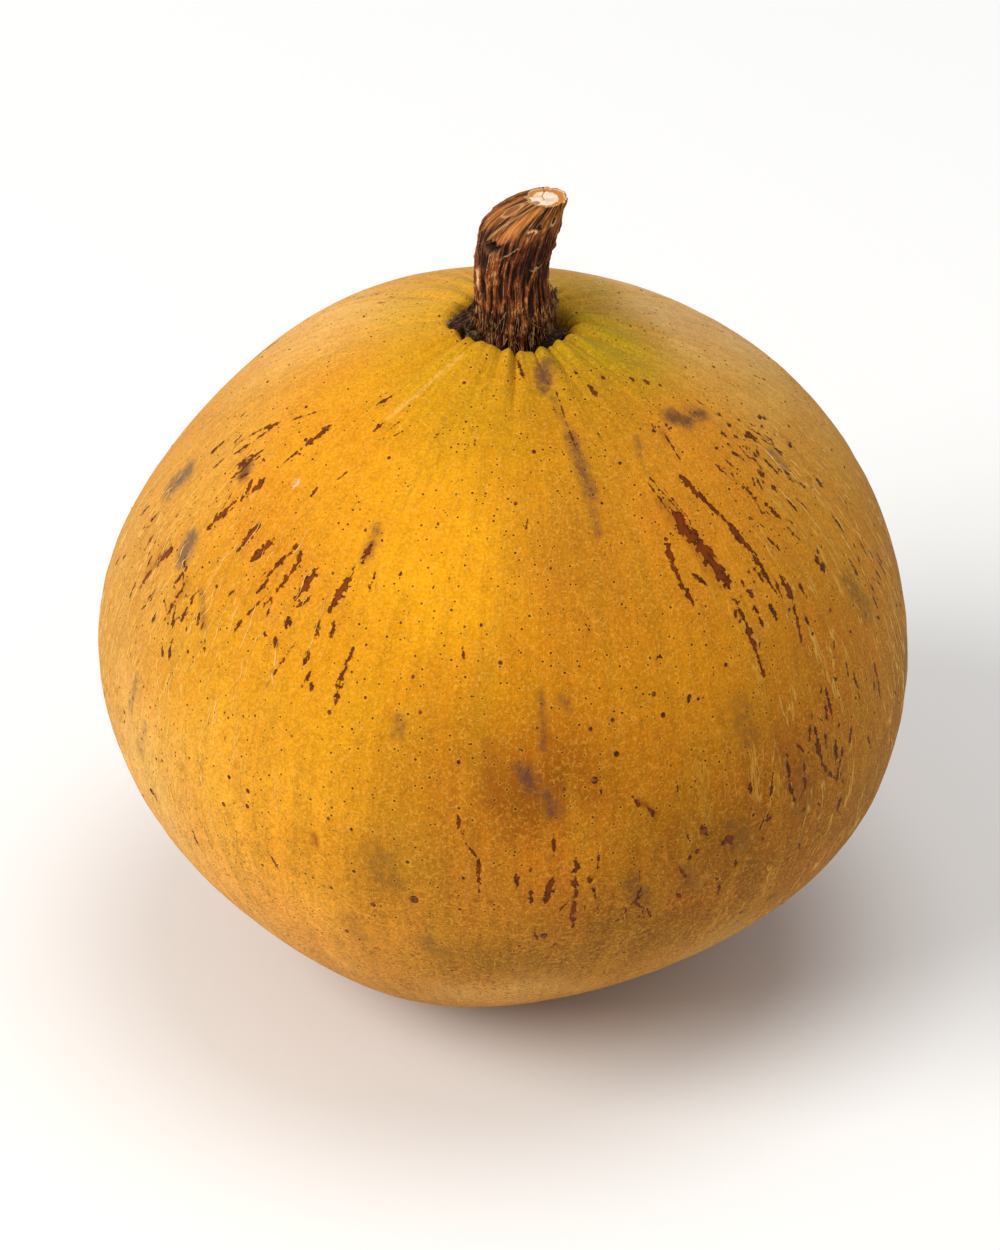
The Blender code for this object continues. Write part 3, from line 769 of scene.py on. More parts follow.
# %% Skin material
def write_skin(pad, shader):
    mm = pad.own_mm()
    x, y, z = pad.split(mm)
    x = x - pad.ramp(z, 45.0, 75.0, 0.0, STEM_OFFSET / MM)
    away = pad.most(pad.math("SQRT", x * x + y * y), 0.5)

    def down(turns, per_mm, detail=2.0, roughness=0.5):
        """Noise stretched down the meridians."""
        return pad.noise(pad.combine(x / away * turns, y / away * turns, z * per_mm), 1.0, detail, roughness)

    grain = pad.noise(mm, 3.1, 3.0, 0.70)
    felt = pad.noise(mm, 5.5, 2.0, 0.6)
    mottle = pad.noise(mm, 0.75, 3.0, 0.65)
    cloud = pad.noise(mm, 0.11, 3.0, 0.55)
    streak = down(38.0, 0.10, 3.0, 0.6)
    wide_streak = down(13.0, 0.045, 2.0)

    ripe_and_painted_light = pad.attribute("ripe_and_painted_light")
    colour = pad.blend(pad.ramp(cloud, 0.35, 0.70) * 0.28, ripe_and_painted_light, (0.56, 0.150, 0.004, 1))
    colour = pad.blend(pad.ramp(wide_streak, 0.50, 0.72) * 0.30, colour, (0.52, 0.24, 0.008, 1))
    low = pad.ramp(z, 58.0, 22.0, 0.15, 1.0)
    light = (pad.ramp(grain, 0.30, 0.70, -0.23, 0.23) + pad.ramp(mottle, 0.30, 0.70, -0.13, 0.11)
             + pad.ramp(streak, 0.30, 0.70, -0.10, 0.10)) * (low * 0.45 + 0.60) + 1.005
    colour = pad.scale(colour, light)
    grit = pad.ramp(felt, 0.54, 0.70) * pad.ramp(mottle, 0.38, 0.62) * low
    colour = pad.blend(grit * 0.66, colour, (0.24, 0.075, 0.006, 1))
    crumbs = pad.noise(mm, 1.9, 3.0, 0.75)
    drift = pad.ramp(pad.noise(mm, 0.22, 3.0, 0.6), 0.40, 0.60) * pad.ramp(z, 52.0, 18.0)
    colour = pad.blend(pad.ramp(crumbs, 0.48, 0.37) * drift * 0.42, colour, (0.78, 0.37, 0.04, 1))
    colour = pad.blend(pad.ramp(crumbs, 0.53, 0.64) * drift * 0.75, colour, (0.130, 0.040, 0.004, 1))

    # raised veins, mostly towards the sides, and a fine pale net
    flank = pad.ramp(abs(x + 2.0), 17.0, 36.0)
    vein_field = down(25.0, 0.095, 3.0, 0.5)
    vein = 1 - pad.ramp(abs(vein_field - 0.5), 0.004, 0.024)
    vein = vein * pad.ramp(pad.noise(mm, 0.22, 2.0), 0.40, 0.58) * (flank * 0.88 + 0.12)
    net = pad.node("ShaderNodeTexVoronoi", {"feature": "DISTANCE_TO_EDGE"}, Vector=mm, Scale=1.15)
    thread = (1 - pad.ramp(pad.out(net), 0.02, 0.11)) * pad.ramp(grain, 0.42, 0.60)
    pale = pad.most(vein * 0.64, thread * 0.30)
    colour = pad.blend(pale, colour, (0.82, 0.45, 0.07, 1))

    # pores: tiny everywhere, larger and browner here and there
    def pores(scale, least, most, share):
        cells = pad.node("ShaderNodeTexVoronoi", Vector=mm, Scale=scale, Randomness=1.0)
        chance = pad.split(pad.out(cells, 1))
        radius = (chance[0] ** 2 * (most - least) + least) * scale
        crowded = pad.ramp(pad.noise(mm, 0.16, 2.0), 0.35, 0.65, share * 0.4, share * 1.15)
        there = pad.math("LESS_THAN", chance[1], crowded)
        away = pad.out(cells, 0) / radius
        return (1 - pad.ramp(away, 0.55, 1.0)) * there, (1 - pad.ramp(away, 1.1, 1.9)) * there

    tiny, tiny_rim = pores(1.35, 0.11, 0.19, 0.90)
    large, large_rim = pores(0.52, 0.15, 0.32, 0.45)
    pore = pad.most(tiny, large)
    colour = pad.blend(pad.most(tiny_rim, large_rim) * 0.24, colour, (0.84, 0.40, 0.03, 1))
    colour = pad.blend(pore * 0.92, colour, (0.070, 0.016, 0.005, 1))

    # stains, broken up by the grain
    stain, stain_colour = pad.attribute("stain", 2), pad.attribute("stain_colour")
    dapple = stain + (pad.noise(mm, 1.3, 3.0, 0.70) - 0.5) * 1.0 + (grain - 0.5) * 1.1
    stained = pad.ramp(dapple, 0.02, 0.80) * pad.ramp(stain, 0.02, 0.26)
    colour = pad.blend(stained * 0.86, colour, stain_colour)

    # scars
    swell = pad.noise(pad.combine(x, y, z * 0.8), 1.35, 1.0)
    crumb = pad.noise(mm, 3.6, 2.0, 0.6)
    scar, big_scar = None, 0.0
    for number in range(SCAR_LAYERS):
        side, width, _ = pad.read_three(f"scar_{number}")
        wide = pad.most(width * pad.ramp(swell, 0.34, 0.64, 0.35, 1.55), width * 1.2 - 0.35)
        depth = wide - abs(side) + (crumb - 0.56) * 0.75 * pad.ramp(width, -0.1, 0.3)
        mask = pad.ramp(depth, -0.03, 0.10)
        scar = mask if scar is None else pad.most(scar, mask)
        big_scar = pad.most(big_scar, pad.ramp(depth, 0.15, 0.55))
    scar_colour = pad.blend(pad.ramp(mottle * 0.6 + grain * 0.4, 0.40, 0.60),
                            (0.045, 0.006, 0.002, 1), (0.155, 0.022, 0.003, 1))
    scar_colour = pad.blend(big_scar * 0.8, scar_colour, (0.19, 0.033, 0.003, 1))
    colour = pad.blend(scar * 0.95, colour, scar_colour)

    height = grain * 0.100 + felt * 0.050 + mottle * 0.08 + vein * 0.10 + thread * 0.02 - pore * 0.05
    height = height - scar * (0.05 + grain * 0.05)
    pad.paint(shader, height, Base_Color=colour, Roughness=0.66 + (felt - 0.5) * 0.2 - scar * 0.12,
              Specular_IOR_Level=0.06, Sheen_Weight=0.10, Sheen_Roughness=0.45,
              Sheen_Tint=(1.0, 0.72, 0.34, 1))


write_skin(skin_pad, skin_shader)

# %% [markdown]
# ## Veins and warts on the skin
# Two things stand up from the skin far enough to catch the light at its edge: pale corky veins
# that follow the meridians, and dark warts. Both repeat, so each is a tree. A vein starts as a
# short line of points on a globe and is laid on the skin by asking for the nearest place on it,
# which works whatever the lumps are. Warts are domes put on chosen points of the skin.

# %% Strands, for veins and for fibres
class StrandGrower(Grower):
    """Grows many tapered strands. Each starts as a straight line of points that a rule then lays out."""

    def straight_lines(self, count):
        """The lines, and each point's share of the way along its own line."""
        line = self.node("GeometryNodeMeshLine", Count=self.size("Points"), Offset=(0, 0, 1.0))
        starts = self.node("GeometryNodeMeshLine", Count=count, Offset=(1.0, 0, 0))
        placed = self.node("GeometryNodeInstanceOnPoints", Points=self.out(starts), Instance=self.out(line))
        lines = self.node("GeometryNodeRealizeInstances", Geometry=self.out(placed))
        step = self.split(self.out(self.node("GeometryNodeInputPosition")))[2]
        return self.out(lines), step / (self.size("Points") - 1)

    def chance(self, low, high, seed):
        """A random number for each strand."""
        index = self.out(self.node("GeometryNodeInputIndex"))
        strand = self.math("FLOOR", index / self.size("Points"))
        made = self.node("FunctionNodeRandomValue", {"data_type": "FLOAT"}, _2=low, _3=high, ID=strand,
                         Seed=seed)
        return self.out(made, 1)

    def along_strand(self):
        return self.out(self.node("GeometryNodeSplineParameter"))

    def tubes(self, lines, place, sides, thickness):
        """Lays the lines out and makes them round, with a share of the full thickness along each."""
        laid = self.node("GeometryNodeSetPosition", Geometry=lines, Position=place)
        curve = self.node("GeometryNodeMeshToCurve", Mesh=self.out(laid))
        circle = self.node("GeometryNodeCurvePrimitiveCircle", Resolution=sides, Radius=self.size("Radius"))
        shaped = self.node("GeometryNodeSetCurveRadius", Curve=self.out(curve), Radius=thickness)
        tube = self.node("GeometryNodeCurveToMesh", Curve=self.out(shaped), Profile_Curve=self.out(circle))
        if "Scale" in tube.inputs:
            self.plug(tube.inputs["Scale"], thickness)
        return self.out(tube)


def two_tones(name, scale, detail, split, dark, light, roughness, specular):
    """A plain material whose colour drifts between two tones."""
    material, pad, shader = new_material(name)
    drift = pad.ramp(pad.noise(pad.own_mm(), scale, detail), *split)
    pad.paint(shader, Base_Color=pad.blend(drift, (*dark, 1), (*light, 1)), Roughness=roughness,
              Specular_IOR_Level=specular)
    return material


# %% Grow the veins
# centre azimuth and spread, highest and lowest polar angle (degrees), count
VEIN_FIELDS = ((-166, 18, 52, 96, 100), (-136, 16, 42, 84, 44), (-140, 16, 80, 100, 30),
               (-10, 20, 40, 94, 90), (70, 70, 50, 110, 80), (130, 40, 60, 110, 60))
vein_sizes = {"Length": 11.0, "Radius": 0.056 * MM, "Points": 10}
OUTSIDE_RADIUS, OUTSIDE_HEIGHT = 46 * MM, 42 * MM
DEGREE = math.pi / 180


def grow_veins():
    pad = StrandGrower("skin_veins_rule", vein_sizes, takes_mesh=True)
    joined = pad.node("GeometryNodeJoinGeometry")
    for seed, (azimuth, spread, highest, lowest, count) in enumerate(VEIN_FIELDS):
        def chance(low, high, extra):
            return pad.chance(low, high, seed * 10 + extra)

        lines, along = pad.straight_lines(count)
        length = pad.size("Length") * chance(0.25, 1.0, 1)
        bend = pad.noise(pad.combine(chance(0, 90, 2), along * 2.5, 0.0), 1.0, 1.0) - 0.5
        turn = (azimuth + spread * (chance(-0.5, 0.5, 3) + chance(-0.5, 0.5, 4)) + bend * 3) * DEGREE
        down = (chance(highest, lowest, 5) + along * length) * DEGREE
        out = pad.sin(down) * OUTSIDE_RADIUS
        outside = pad.combine(out * pad.cos(turn), out * pad.sin(turn),
                              pad.cos(down) * OUTSIDE_HEIGHT + FOOT_LEVEL)
        nearest = pad.node("GeometryNodeProximity", {"target_element": "FACES"}, _0=pad.size("Geometry"),
                           Source_Position=outside)
        thickness = pad.sin(pad.along_strand() * math.pi) * 0.7 + 0.3
        tubes = pad.tubes(lines, pad.out(nearest), 5, thickness)
        pad.tree.links.new(tubes.socket, joined.inputs[0])
    pad.end(pad.out(joined))
    return pad


vein_material = two_tones("corky_vein", 0.9, 2.0, (0.35, 0.65), (0.56, 0.24, 0.025), (0.86, 0.54, 0.17),
                          roughness=0.8, specular=0.1)
veins = grow_veins().grow("skin_veins", vein_material, skin.data.copy())
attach(veins, "root")

# %% Grow the warts
# azimuth, polar angle, radius in mm
WARTS = (
    (-102, 97, 0.50), (-108, 99, 0.30), (-113, 107, 0.25), (-77.5, 78, 0.36), (-73.5, 75, 0.30),
    (-74, 70, 0.22), (-77.5, 71, 0.22), (-66, 71, 0.28), (-67, 68, 0.26), (-84, 104, 0.42),
    (-61.5, 89, 0.40), (-58, 92, 0.40), (-27, 63, 0.40), (-45, 60, 0.24), (-42, 63, 0.28),
    (-127, 86, 0.25), (-127, 88, 0.25), (-130, 85, 0.22), (-131, 90, 0.25), (-149, 98, 0.40),
    (-10, 49, 0.30), (-9, 43, 0.26), (-116, 71, 0.24), (-80, 29, 0.24), (-54, 67, 0.22), (-36, 67, 0.24),
    (-63, 92, 0.30), (-51, 91, 0.26), (-148, 37, 0.22), (-170, 64, 0.26),
)
wart_sizes = {"Flatness": 0.34}


def wart_points(seed=5, strewn=190):
    """A mesh of single points on the skin, each with its radius and the skin's outward direction."""
    random = np.random.default_rng(seed)
    places = list(WARTS)
    places += [(random.uniform(-180, 180), math.degrees(math.acos(random.uniform(-0.5, 0.93))),
                random.uniform(0.10, 0.21)) for _ in range(strewn)]
    nearest = [int(np.argmax(rays @ globe(azimuth, polar))) for azimuth, polar, _ in places]
    mesh = bpy.data.meshes.new("wart_points")
    mesh.from_pydata([tuple(points[number]) for number in nearest], [], [])
    outward = np.array([tuple(skin.data.vertices[number].normal) for number in nearest])
    give_attribute(mesh, "outward", outward)
    give_attribute(mesh, "wide", np.array([radius for *_, radius in places]))
    return mesh


def named(pad, name, kind, output=0):
    return pad.out(pad.node("GeometryNodeInputNamedAttribute", {"data_type": kind}, Name=name), output)


def grow_warts():
    pad = Grower("skin_warts_rule", wart_sizes, takes_mesh=True)
    dome = pad.node("GeometryNodeMeshIcoSphere", Radius=1 * MM, Subdivisions=2)
    turned = pad.node("FunctionNodeAlignRotationToVector", {"axis": "Z"},
                      Vector=named(pad, "outward", "FLOAT_VECTOR"))
    wide = named(pad, "wide", "FLOAT")
    sized = pad.combine(wide, wide * 1.15, wide * pad.size("Flatness"))
    placed = pad.node("GeometryNodeInstanceOnPoints", Points=pad.size("Geometry"), Instance=pad.out(dome),
                      Rotation=pad.out(turned), Scale=sized)
    pad.end(pad.out(placed))
    return pad


wart_material = two_tones("skin_wart", 2.5, 2.0, (0.35, 0.65), (0.050, 0.011, 0.005), (0.22, 0.055, 0.012),
                          roughness=0.65, specular=0.2)
warts = grow_warts().grow("skin_warts", wart_material, wart_points())
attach(warts, "root")

# %% [markdown]
# ## The stem
# The stub is bark all the way round with a clean slanting shoulder on one side and a cut face on
# top. Its outline is the solid's: a radius for every level, leaning over near the top. What makes
# it bark is added in layers. Ridges run up it, deep near the foot where the stalk flares, and
# finer fibres run between them. On top come the single features: a peeled strip that ends in a
# knot hole, a loose flake, a nub, a torn edge under the cut.

# %% Shape of the stem
STEM_RADIUS = 4.2 * MM
STEM_LEAN = 1.5 * MM
STEM_CUT_RADIUS = 2.35 * MM
STEM_SHOULDER = 4.5 * MM
STEM_FOOT = stem_low[2]
STEM_TOP = stem_high[2]
STEM_AROUND, STEM_ALONG, CUT_RINGS = 330, 220, 26
NOT_CUT = 9.0       # stands in for the distance to the crack where there is bark


def ease(x):
    x = min(max(x, 0.0), 1.0)
    return x * x * (3 - 2 * x)


def stem_section(level):
    """Radius at a level and the shift of its centre to +X."""
    share = (level - STEM_FOOT) / (STEM_TOP - STEM_FOOT)
    plain = STEM_RADIUS * (1 + 0.05 * math.exp(-share / 0.15) + 0.03 * ease(share))
    narrowing = min(max((level - STEM_TOP + STEM_SHOULDER) / STEM_SHOULDER, 0), 1) ** 2.3
    radius = plain + narrowing * (STEM_CUT_RADIUS - plain)
    waist = 0.26 * MM * math.exp(-((share - 0.50) / 0.20) ** 2)
    lean = STEM_LEAN * (max(share - 0.55, 0) / 0.45) ** 1.5
    return radius - waist, lean + (plain - radius) * 0.97 - waist * 0.8


def ridges(around, level_mm, turns, per_mm, seed):
    """Sharp-topped ridges round the stem that wander a little as they rise. From 0 to 1."""
    place = Vector((math.cos(around) * turns, math.sin(around) * turns, level_mm * per_mm + seed))
    return 1 - min(abs(noise.noise(place)) * 2.6, 1)


def near(around, level, azimuth, height, wide, tall, slant=0.0):
    """1 at a place on the stem, easing to 0 at its edge. Sizes in mm; slant leans it over."""
    up = (level - height * MM) / MM
    turn = (around - math.radians(azimuth) + math.pi) % (2 * math.pi) - math.pi
    side = turn * STEM_RADIUS / MM - slant * up
    return ease(1.6 * (1 - math.hypot(side / wide, up / tall)))


def stem_features(around, level):
    """Relief in mm, then how much of the place is peeled, pale and dark."""
    def at(*place):
        return near(around, level, *place)

    level_mm = level / MM
    ragged = 0.35 * noise.noise(Vector((around * 9, level_mm * 2.2, 3)))
    strip_up = level_mm - 90.2
    strip_side = math.degrees(around) + 131 - strip_up * 6.5
    strip = ease(1.5 * (1 - abs(strip_side - 5) / (16 + 8 * ragged)))
    strip *= ease(strip_up / 0.5) * ease((94.2 - level_mm) / 0.4)
    strip_edge = ease(1.7 * (1 - abs(strip_side + 13) / 4)) * ease((strip_up + 0.4) / 0.6)
    low_edge = at(-101, 89.4 + ragged * 0.5, 0.16, 1.3, 1.05)
    hole = at(-133, 89.6, 1.35 + 2 * ragged, 0.95 + ragged, 0.3)
    rim = at(-133, 89.5, 1.7 + ragged, 1.3, 0.3) * (1 - hole)
    away = math.hypot(math.radians(math.degrees(around) + 152) * 3.0, level_mm - 93.2)
    loop = ease(1 - abs(away - 0.62 - ragged * 0.3) / 0.22)
    flake = at(-156, 85.0, 0.55 + ragged * 1.6, 1.7, -0.15)
    flake_gap = at(-143, 84.3, 0.45 + ragged, 1.3, 0.0)
    nub = at(2, 88.2, 0.9, 0.6)
    crack = at(-52, 87.4 + ragged, 1.0, 0.14)
    crack_edge = at(-52, 87.2 + ragged, 1.1, 0.12)
    torn = at(-72, 92.15 + ragged, 0.8, 0.22, 0.0)
    torn_edge = at(-80, 91.95 + ragged, 0.9, 0.2, 0.4)
    blob = at(-47, 92.6, 0.36, 0.44, 0.0)
    blob_edge = at(-47, 92.5, 0.62, 0.72, 0.0) * (1 - blob)
    relief = (0.12 * loop - 0.28 * strip + 0.14 * strip_edge + 0.08 * low_edge - 0.75 * hole + 0.13 * rim
              + 0.20 * flake - 0.34 * flake_gap + 0.28 * nub - 0.15 * crack + 0.08 * crack_edge - 0.16 * torn
              + 0.12 * torn_edge - 0.10 * blob + 0.08 * blob_edge)
    pale = max(flake, 0.45 * loop, 0.35 * strip_edge, 0.6 * low_edge, 0.8 * crack_edge, 0.8 * torn_edge,
               blob_edge, 0.15 * rim)
    # dark is painted shade in the knot hole, the crack and the gap beside the flake, and it also darkens the
    # torn patch and the blob
    dark = max(hole, flake_gap, crack * 0.8, torn, blob * 0.9)
    return relief, strip, pale, dark


def stem_point(around, level):
    """A point of the bark, and its ridge height, peel, pale and dark values."""
    radius, shift = stem_section(level)
    level_mm = level / MM
    share = (level - STEM_FOOT) / (STEM_TOP - STEM_FOOT)
    low = ease((0.42 - share) / 0.42)
    broad = ridges(around, level_mm, 5.2 + 1.2 * low, 0.12, 0)
    middle = ridges(around, level_mm, 13.0, 0.28, 40)
    fine = ridges(around, level_mm, 27.0, 0.45, 80)
    knots = noise.noise(Vector((math.cos(around) * 2.4, math.sin(around) * 2.4, level_mm * 0.5)))
    tangle = noise.noise(Vector((math.cos(around) * 8, math.sin(around) * 8, level_mm * 1.9)))
    relief, peel, pale, dark = stem_features(around, level)
    calm = 1 - 0.85 * peel
    ridge = (broad - 0.55) * (0.20 + 0.26 * low) + (middle - 0.55) * 0.15 + (fine - 0.5) * 0.07
    relief += calm * (ridge + knots * 0.22 + tangle * 0.06) - 0.10
    radius += relief * MM
    height = 0.42 * broad + 0.38 * middle + 0.20 * fine
    x = radius * math.cos(around) + STEM_OFFSET + shift
    return (x, radius * math.sin(around), level), (height, peel, pale, dark)


def make_stem():
    places, looks, grain = [], [], []
    for row in range(STEM_ALONG + 1):
        share = row / STEM_ALONG
        level = STEM_FOOT + (STEM_TOP - STEM_FOOT) * (1 - (1 - share) ** 1.12)
        for column in range(STEM_AROUND):
            around = 2 * math.pi * column / STEM_AROUND - math.pi
            place, look = stem_point(around, level)
            places.append(place)
            looks.append((*look, NOT_CUT))
            grain.append((math.cos(around) * 4.2, math.sin(around) * 4.2, level / MM))
    rim = np.array(places[-STEM_AROUND:])
    middle = rim.mean(axis=0)
    for ring in range(1, CUT_RINGS + 1):
        inward = 1 - ring / CUT_RINGS
        for column in range(STEM_AROUND if ring < CUT_RINGS else 1):
            place = middle + (rim[column] - middle) * inward
            x, y = (place - middle)[:2] / MM
            dip = 0.10 * ease((1 - inward) / 0.14) + 0.05 * noise.noise(Vector((x * 1.2, y * 1.2, 7)))
            crack = min(abs(x + 0.25 + 0.12 * math.sin(3 * y)) + max(-y - 0.45, 0) * 1.5,
                        math.hypot(x + 1.05, y + 0.95) * 0.5 - 0.16)
            dip += 0.12 * ease(1 - abs(crack) / 0.12)
            place = place - np.array((0, 0, dip * MM))
            places.append(tuple(place))
            looks.append((inward, 0.0, 0.0, 0.0, crack))
            grain.append((x, y, 0.0))
    faces = []
    rings = STEM_ALONG + 1 + CUT_RINGS - 1
    for row in range(rings - 1):
        for column in range(STEM_AROUND):
            after = (column + 1) % STEM_AROUND
            start = row * STEM_AROUND
            above = start + STEM_AROUND
            faces.append((start + column, start + after, above + after, above + column))
    last = (rings - 1) * STEM_AROUND
    faces += [(last + column, last + (column + 1) % STEM_AROUND, rings * STEM_AROUND)
              for column in range(STEM_AROUND)]
    faces.append(tuple(range(STEM_AROUND - 1, -1, -1)))
    mesh = bpy.data.meshes.new("stem_bark")
    mesh.from_pydata(places, [], faces)
    looks = np.array(looks)
    give_attribute(mesh, "height_peel_pale", looks[:, :3])
    on_cut = looks[:, 4] < NOT_CUT
    give_attribute(mesh, "dark_cut_crack", np.stack((looks[:, 3], on_cut, np.clip(looks[:, 4], -2, 3)), 1))
    give_attribute(mesh, "grain_place", np.array(grain))
    mesh.shade_smooth()
    print("stem has", len(faces), "faces")
    return add_object("stem_bark", mesh)


stem = make_stem()

# %% [markdown]
# ## Bark
# The bark's colour follows its relief: nearly black red-brown in the furrows, partly its own colour and
# partly painted shade, warm brown on the ridges with a painted highlight of orange-brown on their tops, and
# tan where single fibres have worn bare. The knot hole, the crack and the gap beside the flake are painted
# near black as shade. The fibres are noise stretched along the stem. The cut face is cream wood with a crack,
# inside a tan rim.

# %% Bark material
def write_bark(pad, shader):
    height, peel, pale = pad.read_three("height_peel_pale")
    dark, cut, crack = pad.read_three("dark_cut_crack")
    grain = pad.attribute("grain_place", 1)
    x, y, z = pad.split(grain)
    along = pad.combine(x, y, z * 0.10)
    fibre = pad.noise(along, 3.4, 3.0, 0.62)
    thread = pad.noise(pad.combine(x, y, z * 0.16), 6.5, 2.0, 0.5)
    patch = pad.noise(grain, 0.55, 3.0, 0.6)
    speck = pad.noise(grain, 4.0, 3.0, 0.65)
    tone = height * 0.75 + fibre * 0.55 + (patch - 0.5) * 0.35
    # painted shade and highlight: following the relief, the colour runs from near black in the furrows to
    # warm brown, then to a bright orange-brown highlight on the ridge tops, over the bark's own red-brown
    colour = pad.blend(pad.ramp(tone, 0.44, 0.80), (0.013, 0.0032, 0.0008, 1), (0.175, 0.037, 0.004, 1))
    colour = pad.blend(pad.ramp(tone, 0.76, 1.00) * 0.90, colour, (0.46, 0.150, 0.018, 1))
    bare = (1 - pad.ramp(abs(thread - 0.5), 0.006, 0.040)) * pad.ramp(patch, 0.36, 0.62)
    bare = bare * pad.ramp(height, 0.35, 0.75)
    colour = pad.blend(bare * 0.92, colour, (0.66, 0.36, 0.14, 1))
    colour = pad.scale(colour, pad.ramp(speck, 0.35, 0.65, 0.72, 1.25))
    top = pad.ramp(z, 89.6, 92.4)
    colour = pad.blend(top * pad.ramp(fibre, 0.40, 0.62) * 0.75, colour, (0.42, 0.150, 0.028, 1))
    strip = pad.blend(pad.ramp(fibre, 0.38, 0.64), (0.26, 0.060, 0.008, 1), (0.62, 0.235, 0.045, 1))
    colour = pad.blend(peel * 0.92, colour, strip)
    colour = pad.blend(pale * (speck * 0.8 + 0.55), colour, (0.74, 0.43, 0.18, 1))
    # painted shade: near black in the knot hole, the crack and the gap beside the flake; the torn patch and
    # the blob are darkened the same way
    colour = pad.blend(dark * 0.95, colour, (0.006, 0.003, 0.002, 1))
    wood = pad.blend(pad.ramp(pad.noise(grain, 0.9, 3.0, 0.6), 0.40, 0.62),
                     (0.84, 0.72, 0.59, 1), (0.72, 0.50, 0.30, 1))
    ring = height + x * 0.045 + y * 0.045 + (patch - 0.5) * 0.12
    wood = pad.blend(pad.ramp(ring, 0.62, 0.70), wood, (0.52, 0.19, 0.035, 1))
    wood = pad.blend(pad.ramp(height, 0.86, 0.95), wood, (0.74, 0.42, 0.17, 1))
    wood = pad.blend((1 - pad.ramp(crack, 0.0, 0.10)) * 0.85, wood, (0.36, 0.12, 0.020, 1))
    colour = pad.blend(cut, colour, wood)
    pad.paint(shader, (fibre * 0.12 + thread * 0.05 + speck * 0.03) * (1 - cut * 0.7), Base_Color=colour,
              Roughness=0.70 - peel * 0.2 + height * 0.1, Specular_IOR_Level=0.20)


bark_material, bark_pad, bark_shader = new_material("stem_bark")
write_bark(bark_pad, bark_shader)
stem.data.materials.append(bark_material)
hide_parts("stem")
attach(stem, "root")

# %% [markdown]
# ## Loose fibres at the foot of the stem
# Where the stalk meets the fruit its fibres have come loose and bristle out over the pit. They
# all follow one rule, a strand that leaves the bark, bends outwards and thins to a point, so they
# are one tree again, grown from the same kind of strand as the veins.

# %% Grow the fibres
fibre_sizes = {"Count": 420, "Radius": 0.042 * MM, "Points": 8}


def grow_fibres():
    pad = StrandGrower("stem_fibres_rule", fibre_sizes)
    lines, along = pad.straight_lines(pad.size("Count"))
    turn = pad.chance(-math.pi, math.pi, 1) + along * pad.chance(-0.16, 0.16, 2)
    turn = turn + along ** 3 * pad.chance(-0.2, 0.2, 6)
    top = pad.chance(2.0 * MM, 7.5 * MM, 3)
    drop = pad.chance(1.2 * MM, 3.2 * MM, 4)
    out = STEM_RADIUS * 1.01 + along ** 2 * pad.chance(0.05 * MM, 1.05 * MM, 5)
    level = STEM_FOOT + top - along * pad.least(drop, top)
    place = pad.combine(out * pad.cos(turn) + STEM_OFFSET, out * pad.sin(turn), level)
    pad.end(pad.tubes(lines, place, 4, 1.1 - pad.along_strand() * 0.9))
    return pad


fibre_material = two_tones("bark_fibre", 1.1, 1.0, (0.40, 0.62), (0.055, 0.016, 0.005), (0.50, 0.25, 0.09),
                           roughness=0.85, specular=0.2)
fibres = grow_fibres().grow("stem_fibres", fibre_material)
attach(fibres, "root")

# %% [markdown]
# ## The dried calyx
# Five scraps of calyx stand in the pit. Each is a thin plate bent up the pit's wall and over the lip, broad
# at its root and ragged at its edge, with a ribbed, crumpled face. A grid carries the plate, a rule bends it,
# and Solidify gives it a thickness a little over half the solid's.

# %% Make the calyx lobes
CALYX_THICKNESS = 0.4 * MM
CALYX_LOBES = (
    (173, 0.72, 0.3, 3.4), (-142, 0.40, 0.1, 3.4), (-14, 0.58, 0.2, 3.4),
    (46, 0.80, 1.0, 3.4), (112, 0.62, 0.4, 3.4),
)
LOBE_ROOT = math.radians(8)


def lobe_point(number, across, along, azimuth, reach, lift, width):
    """A point of a lobe's middle sheet. Across runs from -1 to 1, along from root to tip."""
    torn = 0.16 * noise.noise(Vector((across * 2.6, number * 7, 1)))
    torn += 0.10 * noise.noise(Vector((across * 9, number, 2)))
    along = min(along * (1 + torn) + 0.10 * torn * along, 1.06)
    edge = 0.14 * noise.noise(Vector((along * 5, number * 3 + (2 if across > 0 else 9), 4)))
    half = width / 2 * (1 - 0.85 * min(along, 1) ** 1.6) * (1 + edge) * MM
    turn = LOBE_ROOT + along * (math.pi / 2 * reach - LOBE_ROOT)
    crumple = 0.13 * noise.noise(Vector((across * 1.7, along * 3.2, number * 5)))
    crumple += 0.05 * noise.noise(Vector((across * 7, along * 2, number * 5)))
    away = 0.50 * MM + (lift * along ** 2 + crumple * min(along * 2.5, 1) + 0.10 * across ** 2 * along) * MM
    wall = FOOT_LEVEL + outline(LIP_RADIUS, CROWN_HEIGHT) - PIT_FLOOR
    out = LIP_RADIUS - LIP_ROUND * math.cos(turn)
    normal = Vector((-wall * math.cos(turn), LIP_ROUND * math.sin(turn))).normalized()
    out += away * normal.x
    level = PIT_FLOOR + wall * math.sin(turn) + away * normal.y
    angle = math.radians(azimuth) + across * half / PIT_RADIUS
    return (STEM_OFFSET + out * math.cos(angle), out * math.sin(angle), level)


